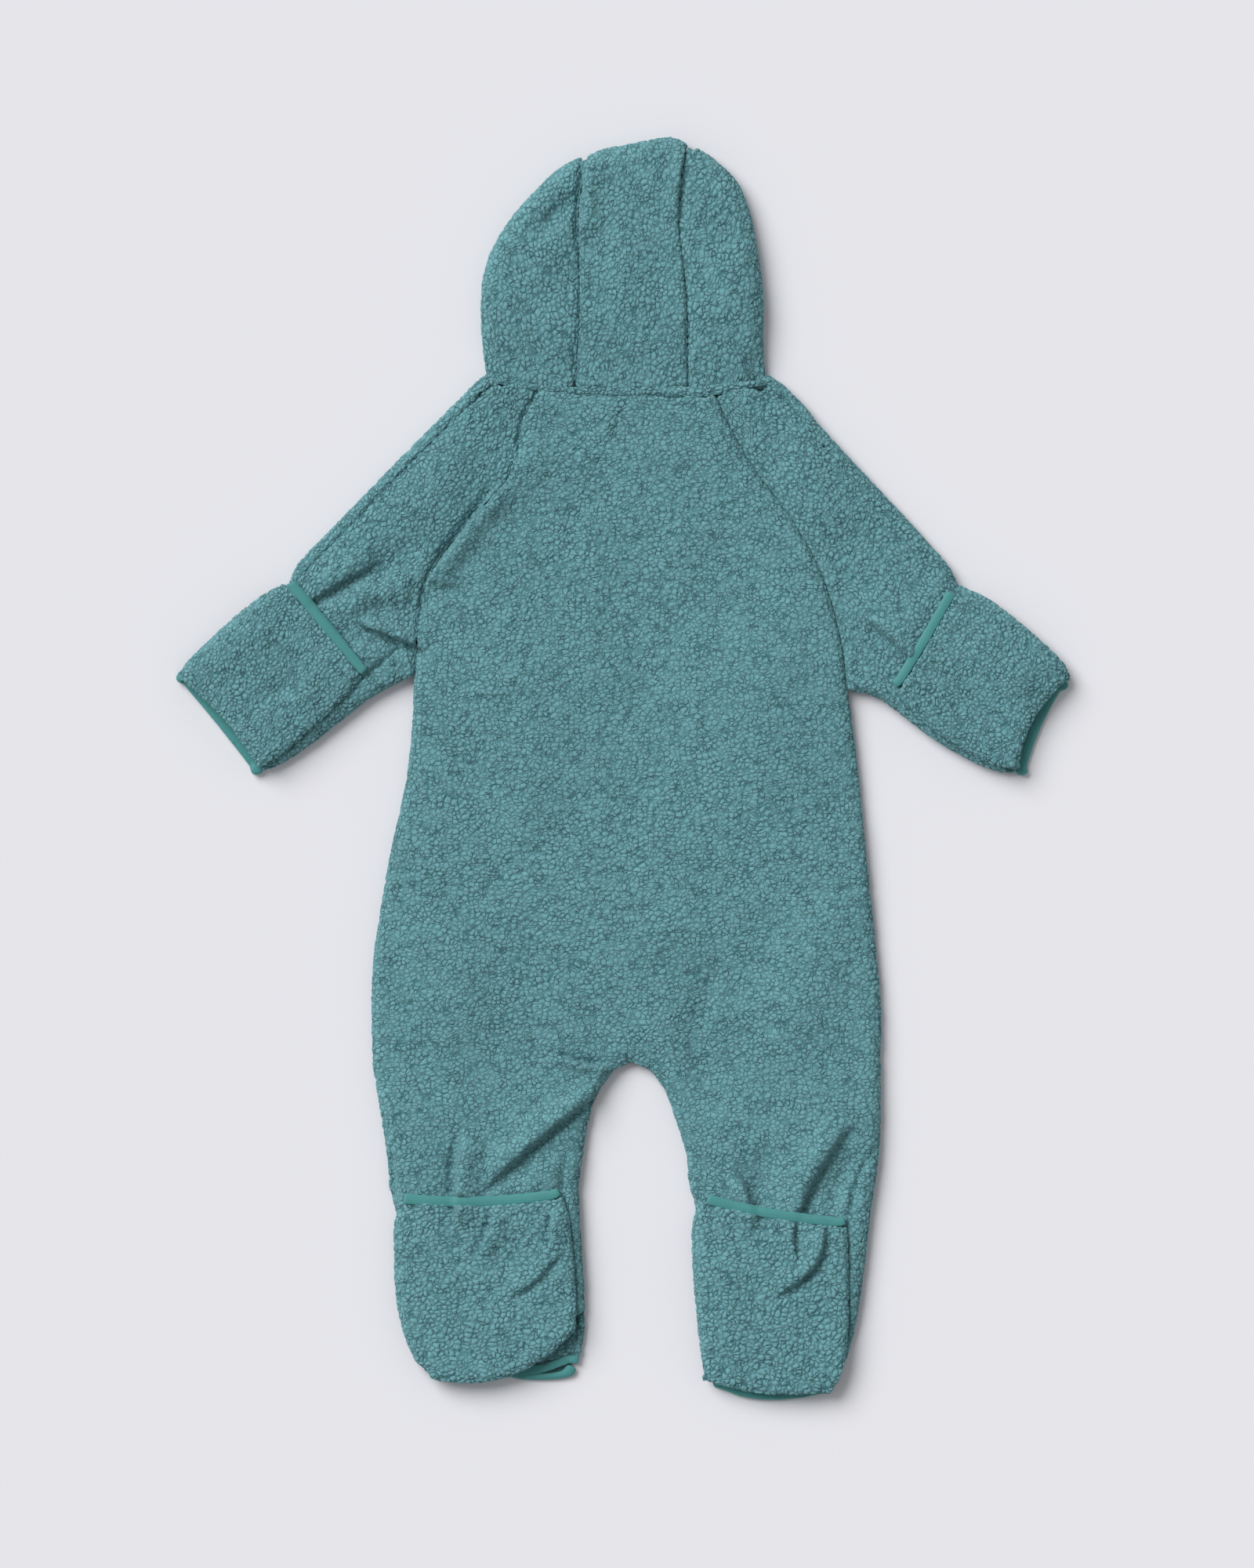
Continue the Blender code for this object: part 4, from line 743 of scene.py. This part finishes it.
# ---------------- shader groups
def node_group(name, inputs, outputs):
    """A shader node group with named sockets. A row of inputs: name, kind, value."""
    group = bpy.data.node_groups.new(name, "ShaderNodeTree")
    for label, kind, value in inputs:
        socket = group.interface.new_socket(label, in_out="INPUT", socket_type=kind)
        socket.default_value = value
    for label, kind in outputs:
        group.interface.new_socket(label, in_out="OUTPUT", socket_type=kind)
    start = group.nodes.new("NodeGroupInput")
    end = group.nodes.new("NodeGroupOutput")
    return group, start, end


def feed(tree, socket, value):
    """Links the socket to another one, or sets it to a number or a colour."""
    if isinstance(value, bpy.types.NodeSocket):
        tree.links.new(value, socket)
    else:
        socket.default_value = value


def linked(tree, kind, **sockets):
    """A node with its sockets set or linked, by name."""
    node = tree.nodes.new(kind)
    for name, value in sockets.items():
        feed(tree, node.inputs[name.replace("_", " ")], value)
    return node


def sums(tree, operation, *values):
    """A Math node's result. Each value is a socket or a number."""
    node = tree.nodes.new("ShaderNodeMath")
    node.operation = operation
    for socket, value in zip(node.inputs, values):
        feed(tree, socket, value)
    return node.outputs[0]


def ranged(tree, value, low, high, to_low, to_high, smooth=False):
    """The value taken from one range to another."""
    node = linked(tree, "ShaderNodeMapRange", Value=value, From_Min=low, From_Max=high,
                  To_Min=to_low, To_Max=to_high)
    if smooth:
        node.interpolation_type = "SMOOTHSTEP"
    return node.outputs[0]


def pile_nodes(tree, flow):
    """The height of the curled pile, from 0 in the gaps to 1 on a clump.

    It depends on the cloth's flow alone. The same nodes raise the mesh and colour its
    material, so the two agree.
    """
    rough = linked(tree, "ShaderNodeTexNoise", Vector=flow, Scale=2.2, Detail=1.0)
    curled = tree.nodes.new("ShaderNodeVectorMath")
    curled.operation = "MULTIPLY_ADD"
    tree.links.new(rough.outputs[1], curled.inputs[0])
    curled.inputs[1].default_value = (CURLED, CURLED, CURLED)
    tree.links.new(flow, curled.inputs[2])
    flow = curled.outputs[0]
    near = linked(tree, "ShaderNodeTexVoronoi", Vector=flow, Scale=1.0, Randomness=0.9)
    edge = linked(tree, "ShaderNodeTexVoronoi", Vector=flow, Scale=1.0, Randomness=0.9)
    edge.feature = "DISTANCE_TO_EDGE"
    curl = linked(tree, "ShaderNodeTexNoise", Vector=flow, Scale=1.9, Detail=2.0, Roughness=0.6)
    patch = linked(tree, "ShaderNodeTexNoise", Vector=flow, Scale=0.55, Detail=1.0)
    ragged = sums(tree, "MULTIPLY_ADD", sums(tree, "SUBTRACT", curl.outputs[0], 0.5), RAGGED,
                  edge.outputs["Distance"])
    open_gap = ranged(tree, ragged, 0.0, GAP_WIDTH, 0.0, 1.0, True)
    depth = ranged(tree, patch.outputs[0], 0.36, 0.62, 1.0, SHALLOW_GAP)
    gap = sums(tree, "SUBTRACT", 1.0, sums(
        tree, "MULTIPLY", depth, sums(tree, "SUBTRACT", 1.0, open_gap)))
    dome = sums(tree, "SUBTRACT", 1.0, sums(
        tree, "MULTIPLY", sums(tree, "POWER", near.outputs["Distance"], 2.0), DOME_DROP))
    tall = ranged(tree, curl.outputs[0], *NOISE_SPAN, LOW_CLUMP, 1.0)
    return sums(tree, "MULTIPLY", sums(tree, "MULTIPLY", dome, gap), tall)


def curl_group():
    """Fine fibres of the curled pile: a height for bump, and a mottle for the colour."""
    group, start, end = node_group(
        "pile_fibres",
        [("Curl", "NodeSocketFloat", 1100.0), ("Mottle", "NodeSocketFloat", 60.0)],
        [("Height", "NodeSocketFloat"), ("Mottle", "NodeSocketFloat")],
    )
    place = group.nodes.new("ShaderNodeTexCoord").outputs["Object"]
    curls = linked(group, "ShaderNodeTexNoise", Vector=place, Scale=start.outputs["Curl"],
                   Detail=3.0, Roughness=0.62, Distortion=1.2)
    wide = linked(group, "ShaderNodeTexNoise", Vector=place, Scale=start.outputs["Mottle"],
                  Detail=2.0, Roughness=0.5)
    group.links.new(curls.outputs["Fac"], end.inputs["Height"])
    group.links.new(wide.outputs["Fac"], end.inputs["Mottle"])
    return group


def principled(name):
    """A new material, its tree and its shader."""
    look = bpy.data.materials.new(name)
    look.use_nodes = True
    tree = look.node_tree
    return look, tree, tree.nodes["Principled BSDF"]


def mixed(tree, share, first, second, blend="MIX"):
    """A colour mixed from two others. share is a socket or a number."""
    node = tree.nodes.new("ShaderNodeMix")
    node.data_type = "RGBA"
    node.blend_type = blend
    for k, value in ((0, share), (6, first), (7, second)):
        feed(tree, node.inputs[k], value)
    return node.outputs[2]


def fleece_material(fibres):
    """Deep matte pile: dark with painted shade in the gaps, pale and a little greyer at the tips
    of the clumps.
    """
    look, tree, shader = principled("fleece")
    flow, groove_and_shade = (tree.nodes.new("ShaderNodeAttribute") for _ in range(2))
    flow.attribute_name, groove_and_shade.attribute_name = "flow", "groove_and_shade"
    pile = pile_nodes(tree, flow.outputs["Vector"])
    # Painted shade: the pile's colour darkens in seams' grooves and in folds
    shaded_pile = sums(tree, "MULTIPLY", pile,
                ranged(tree, groove_and_shade.outputs["Fac"], 0, 1, 1, GROOVE_SHADE_TONE))
    # The ramp paints shade into the gaps and runs up to the pile's own colour and its paler tips
    ramp = linked(tree, "ShaderNodeValToRGB", Fac=shaded_pile)
    stops = ramp.color_ramp.elements
    stops[0].position, stops[0].color = GAP_SHADE_AT, (*GAP_SHADE, 1)
    stops[1].position, stops[1].color = TIP_AT, (*TIP, 1)
    middle = stops.new(PILE_AT)
    middle.color = (*PILE, 1)
    detail = tree.nodes.new("ShaderNodeGroup")
    detail.node_tree = fibres
    both = sums(tree, "MULTIPLY",
                ranged(tree, detail.outputs["Height"], *NOISE_SPAN, *FIBRE_TONE),
                ranged(tree, detail.outputs["Mottle"], *NOISE_SPAN, *MOTTLE_TONE))
    tree.links.new(mixed(tree, 1.0, ramp.outputs["Color"], both, "MULTIPLY"),
                   shader.inputs["Base Color"])
    curls = linked(tree, "ShaderNodeBump", Strength=0.6, Distance=0.0005,
                   Height=detail.outputs["Height"])
    relief = linked(tree, "ShaderNodeBump", Strength=1.0, Distance=0.0008, Height=pile,
                    Normal=curls.outputs["Normal"])
    tree.links.new(relief.outputs["Normal"], shader.inputs["Normal"])
    shader.inputs["Roughness"].default_value = 0.95
    shader.inputs["Specular IOR Level"].default_value = 0.15
    shader.inputs["Sheen Weight"].default_value = 0.25
    shader.inputs["Sheen Roughness"].default_value = 0.55
    shader.inputs["Sheen Tint"].default_value = (0.62, 0.82, 0.85, 1)
    return look


def tape_material(fibres):
    """Smooth stretch tape: a fine knit and a soft sheen."""
    look, tree, shader = principled("binding")
    place = tree.nodes.new("ShaderNodeTexCoord").outputs["Object"]
    weave = linked(tree, "ShaderNodeTexNoise", Vector=place, Scale=1500.0, Detail=2.0,
                   Roughness=0.6)
    detail = tree.nodes.new("ShaderNodeGroup")
    detail.node_tree = fibres
    share = ranged(tree, detail.outputs["Mottle"], *NOISE_SPAN, 0.0, TAPE_MOTTLE)
    colour = mixed(tree, share, (*TAPE_COLOUR, 1), (*TAPE_DARK, 1))
    tree.links.new(colour, shader.inputs["Base Color"])
    bump = linked(tree, "ShaderNodeBump", Strength=0.35, Distance=0.0003,
                  Height=weave.outputs["Fac"])
    tree.links.new(bump.outputs["Normal"], shader.inputs["Normal"])
    shader.inputs["Roughness"].default_value = 0.62
    shader.inputs["Sheen Weight"].default_value = 0.25
    return look


def plain_material(name, colour, roughness, metallic=0.0):
    """One colour with a fine grain in it."""
    look, tree, shader = principled(name)
    place = tree.nodes.new("ShaderNodeTexCoord").outputs["Object"]
    grain = linked(tree, "ShaderNodeTexNoise", Vector=place, Scale=900.0, Detail=3.0)
    share = ranged(tree, grain.outputs["Fac"], *NOISE_SPAN, 0.0, 1.0)
    dark = tuple(c * GRAIN_TONE for c in colour)
    tree.links.new(mixed(tree, share, (*dark, 1), (*colour, 1)), shader.inputs["Base Color"])
    shader.inputs["Roughness"].default_value = roughness
    shader.inputs["Metallic"].default_value = metallic
    return look


# ---------------- tapes
def make_tape(tape, look):
    """A binding on its solid, with its edges rounded."""
    points, triangles = merged_copy(tape.node)
    points, triangles = split_long(
        points, triangles, lambda p, t: np.full(len(p), TAPE_SPACING))
    points = relaxed(points, triangles, np.full(len(points), RELAX), TAPE_RELAX_ROUNDS)
    points += point_normals(points, triangles) * tape.swell * (1, 1, TAPE_SWELL_UP)
    end = np.array([tape.x, tape.y])
    points[:, :2] = end + (points[:, :2] - end) * tape.times
    points = tugged(points, tape.node)
    rise, _ = creased(points, CREASES)
    points[:, 2] += TAPE_CREASED * rise * ease(points[:, 2], *TAPE_LIES)
    points[:, 2] = np.maximum(points[:, 2], 0.0)
    obj = mesh_object(tape.node + "_tape", points, triangles.tolist())
    dress(obj, look)
    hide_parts(tape.node)
    return obj


def swept(name, line, thick, look):
    """An oval swept along a line, rounded at both ends."""
    rows = smooth_line(line, 8)
    along = np.gradient(rows[:, :2], axis=0)
    along /= np.linalg.norm(along, axis=1)[:, None]
    side = np.stack([-along[:, 1], along[:, 0], 0 * along[:, 0]], axis=1)
    share = np.linspace(0, 1, len(rows))
    full = np.sqrt(np.clip(1 - (2 * share - 1) ** END_POWER, 0.02, 1))
    angles = np.linspace(0, 2 * np.pi, OVAL_CORNERS, endpoint=False)
    rings = [
        row[:3] + np.cos(angle) * side_here * row[3] * size
        + (0, 0, np.sin(angle) * thick * size)
        for row, side_here, size in zip(rows, side, full) for angle in angles
    ]
    points = np.array(rings)
    count, last = len(angles), len(rows) - 1
    faces = [
        (r * count + k, r * count + (k + 1) % count,
         (r + 1) * count + (k + 1) % count, (r + 1) * count + k)
        for r in range(last) for k in range(count)
    ]
    caps = [tuple(range(count))[::-1], tuple(last * count + k for k in range(count))]
    obj = mesh_object(name, points, faces + caps)
    bm = bmesh.new()
    bm.from_mesh(obj.data)
    bmesh.ops.recalc_face_normals(bm, faces=bm.faces[:])
    bm.to_mesh(obj.data)
    bm.free()
    dress(obj, look)
    return obj


# ---------------- zip
def cube(name, size, centre):
    """A box of this size in mm, alone and open for editing."""
    bpy.ops.object.select_all(action="DESELECT")
    bpy.ops.mesh.primitive_cube_add(size=1.0, location=(np.array(centre) + ORIGIN) * MM)
    obj = bpy.context.object
    obj.name = obj.data.name = name
    obj.scale = np.array(size) * MM
    bpy.ops.object.transform_apply(location=True, rotation=True, scale=True)
    return obj


def select_faces(obj, wanted):
    """In edit mode, selects the faces whose centre and normal, in mm, are wanted."""
    bpy.ops.object.mode_set(mode="OBJECT")
    for part in (obj.data.vertices, obj.data.edges, obj.data.polygons):
        part.foreach_set("select", np.zeros(len(part), bool))
    for face in obj.data.polygons:
        face.select = bool(wanted(np.array(face.center) / MM - ORIGIN, face.normal))
    bpy.ops.object.mode_set(mode="EDIT")
    bpy.ops.mesh.select_mode(type="FACE")


def widened(times, place):
    """Scales what is selected, along x, y and z, about a place in mm."""
    centre = (np.array(place) + ORIGIN) * MM
    bpy.ops.transform.resize(value=times, center_override=centre)


def drawn_out(*step):
    """Extrudes what is selected, by a step in mm."""
    bpy.ops.mesh.extrude_region_move(
        TRANSFORM_OT_translate={"value": tuple(length * MM for length in step)})


def bevelled(obj, width, segments=2):
    """Rounds the object's sharp edges, by a width in mm."""
    modifier = obj.modifiers.new("rounded", "BEVEL")
    modifier.width, modifier.segments = width * MM, segments
    modifier.limit_method = "ANGLE"
    bpy.ops.object.modifier_apply(modifier="rounded")


def repeated(obj, step, count):
    """The object, copied in a row that is one mesh."""
    modifier = obj.modifiers.new("row", "ARRAY")
    modifier.use_relative_offset, modifier.use_constant_offset = False, True
    modifier.constant_offset_displace = np.array(step) * MM
    modifier.count = count
    bpy.ops.object.modifier_apply(modifier="row")


def joined(parts):
    """The objects made one, which keeps the first one's name."""
    bpy.ops.object.select_all(action="DESELECT")
    for part in parts:
        part.select_set(True)
    bpy.context.view_layer.objects.active = parts[0]
    bpy.ops.object.join()
    return parts[0]


def make_teeth(look):
    """The zip's two rows of teeth, which hook past each other under its tape."""
    rows = []
    for side in (-1, 1):
        low = ZIP_FOOT + (TOOTH_PITCH / 2 if side > 0 else 0.0)
        tooth = cube("zip_teeth", TOOTH,
                     (ZIP_X + side * TOOTH_OUT, low, ZIP_FACE_Z - TOOTH[2] / 2))
        select_faces(tooth, lambda centre, normal: normal.x * side < -FACING)
        drawn_out(-side * HOOK_LONG, 0, 0)
        widened((1.0, 1.25, 0.9), (ZIP_X + side * HOOK_OUT, low, ZIP_FACE_Z))
        bpy.ops.object.mode_set(mode="OBJECT")
        bevelled(tooth, 0.1, 1)
        repeated(tooth, (0, TOOTH_PITCH, 0), TOOTH_COUNT)
        rows.append(tooth)
    teeth = joined(rows)
    dress(teeth, look)
    return teeth


def make_slider(look):
    """The slider, closed at the top: a waisted body with a panel, and a moulded grip."""
    x, y, z = SLIDER_AT
    foot = y - BODY[1] / 2
    body = cube("zip_slider_body", BODY, SLIDER_AT)
    select_faces(body, lambda centre, normal: normal.y < -FACING)
    widened((0.72, 1.0, 1.0), (x, foot, z))
    drawn_out(0, -NECK, 0)
    widened((1.12, 1.0, 0.9), (x, foot - NECK, z))
    select_faces(body, lambda centre, normal: normal.z < -FACING and centre[1] > foot)
    bpy.ops.mesh.inset(thickness=PANEL_IN * MM)
    drawn_out(0, 0, -PANEL_RISE)
    bpy.ops.object.mode_set(mode="OBJECT")
    bevelled(body, 0.28)
    foot = y + GRIP_UP - GRIP[1] / 2
    grip = cube("zip_slider_grip", GRIP, (x, y + GRIP_UP, GRIP_Z))
    select_faces(grip, lambda centre, normal: normal.y < -FACING)
    drawn_out(0, -TIP_LONG, 0)
    widened((1.32, 1.0, 0.9), (x, foot - TIP_LONG, GRIP_Z))
    select_faces(grip, lambda centre, normal: normal.z < -FACING)
    bpy.ops.mesh.inset(thickness=DISH_IN * MM)
    drawn_out(0, 0, DISH_DEEP)
    bpy.ops.object.mode_set(mode="OBJECT")
    bevelled(grip, 0.2)
    slider = joined([body, grip])
    bpy.ops.object.shade_smooth_by_angle(angle=math.radians(SHARP_EDGE))
    dress(slider, look)
    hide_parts("zip_slider")
    return slider


# ---------------- studio
def make_floor():
    bpy.ops.mesh.primitive_plane_add(size=FLOOR_SIDE, location=(0, 0, FLOOR_Z))
    floor = bpy.context.object
    floor.name = "studio_floor"
    look, _, shader = principled("studio_floor")
    shader.inputs["Base Color"].default_value = (*FLOOR, 1)
    shader.inputs["Roughness"].default_value = 0.9
    shader.inputs["Specular IOR Level"].default_value = 0.1
    dress(floor, look)
    return floor


def make_studio():
    """Even light from all round, and a broad soft one from the upper left."""
    world = bpy.data.worlds.new("studio")
    bpy.context.scene.world = world
    world.use_nodes = True
    shade = world.node_tree.nodes["Background"]
    shade.inputs["Color"].default_value = (1.0, 1.0, 1.0, 1)
    shade.inputs["Strength"].default_value = WORLD_STRENGTH
    key = bpy.data.lights.new("key", "SUN")
    key.energy, key.angle = KEY_STRENGTH, math.radians(KEY_WIDTH)
    light = bpy.data.objects.new("key", key)
    light.rotation_euler = (-Vector(KEY_FROM)).to_track_quat("-Z", "Y").to_euler()
    bpy.context.scene.collection.objects.link(light)
    bpy.context.scene.view_settings.view_transform = "Standard"


def make_camera():
    data = bpy.data.cameras.new("photo_view")
    data.lens = data.sensor_width * CAMERA_HEIGHT / (PHOTO_MM * MM)
    data.clip_end = VIEW_END
    camera = bpy.data.objects.new("photo_view", data)
    x, y = (np.array(CAMERA_AT) + ORIGIN[:2]) * MM
    camera.location = (x, y, CAMERA_HEIGHT)
    bpy.context.scene.collection.objects.link(camera)
    bpy.context.scene.camera = camera


# ---------------- the onesie
def main():
    bpy.ops.object.select_all(action="DESELECT")
    floor = make_floor()
    make_studio()
    make_camera()
    fibres = curl_group()
    fleece, binding = fleece_material(fibres), tape_material(fibres)
    zip_tape = plain_material("zip_tape", ZIP_TAPE, 0.8)
    zip_metal = plain_material("zip_metal", METAL, 0.35, 1.0)
    covers = cover_maps([cloth.node for cloth in FLEECE] + [tape.node for tape in TAPES])
    reader = pile_reader()
    cloths = {cloth.node: make_fleece(cloth, fleece, covers, reader) for cloth in FLEECE}
    bpy.data.node_groups.remove(reader)
    tapes = {tape.node: make_tape(tape, binding) for tape in TAPES}
    dress(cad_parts["zip_tape"], zip_tape)
    trims = [
        make_teeth(zip_tape),
        make_slider(zip_metal),
        swept("ankle_binding_left_turn", OPENING, OPENING_THICK, binding),
        # A dark sheet of painted shade inside the left leg's opening
        swept("leg_left_inside_shade", INSIDE_SHADE, INSIDE_SHADE_THICK,
              plain_material("leg_inside_shade", SHADED, 0.95)),
    ]
    for obj in [*cloths.values(), *tapes.values(), *trims]:
        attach(obj, "root")


main()
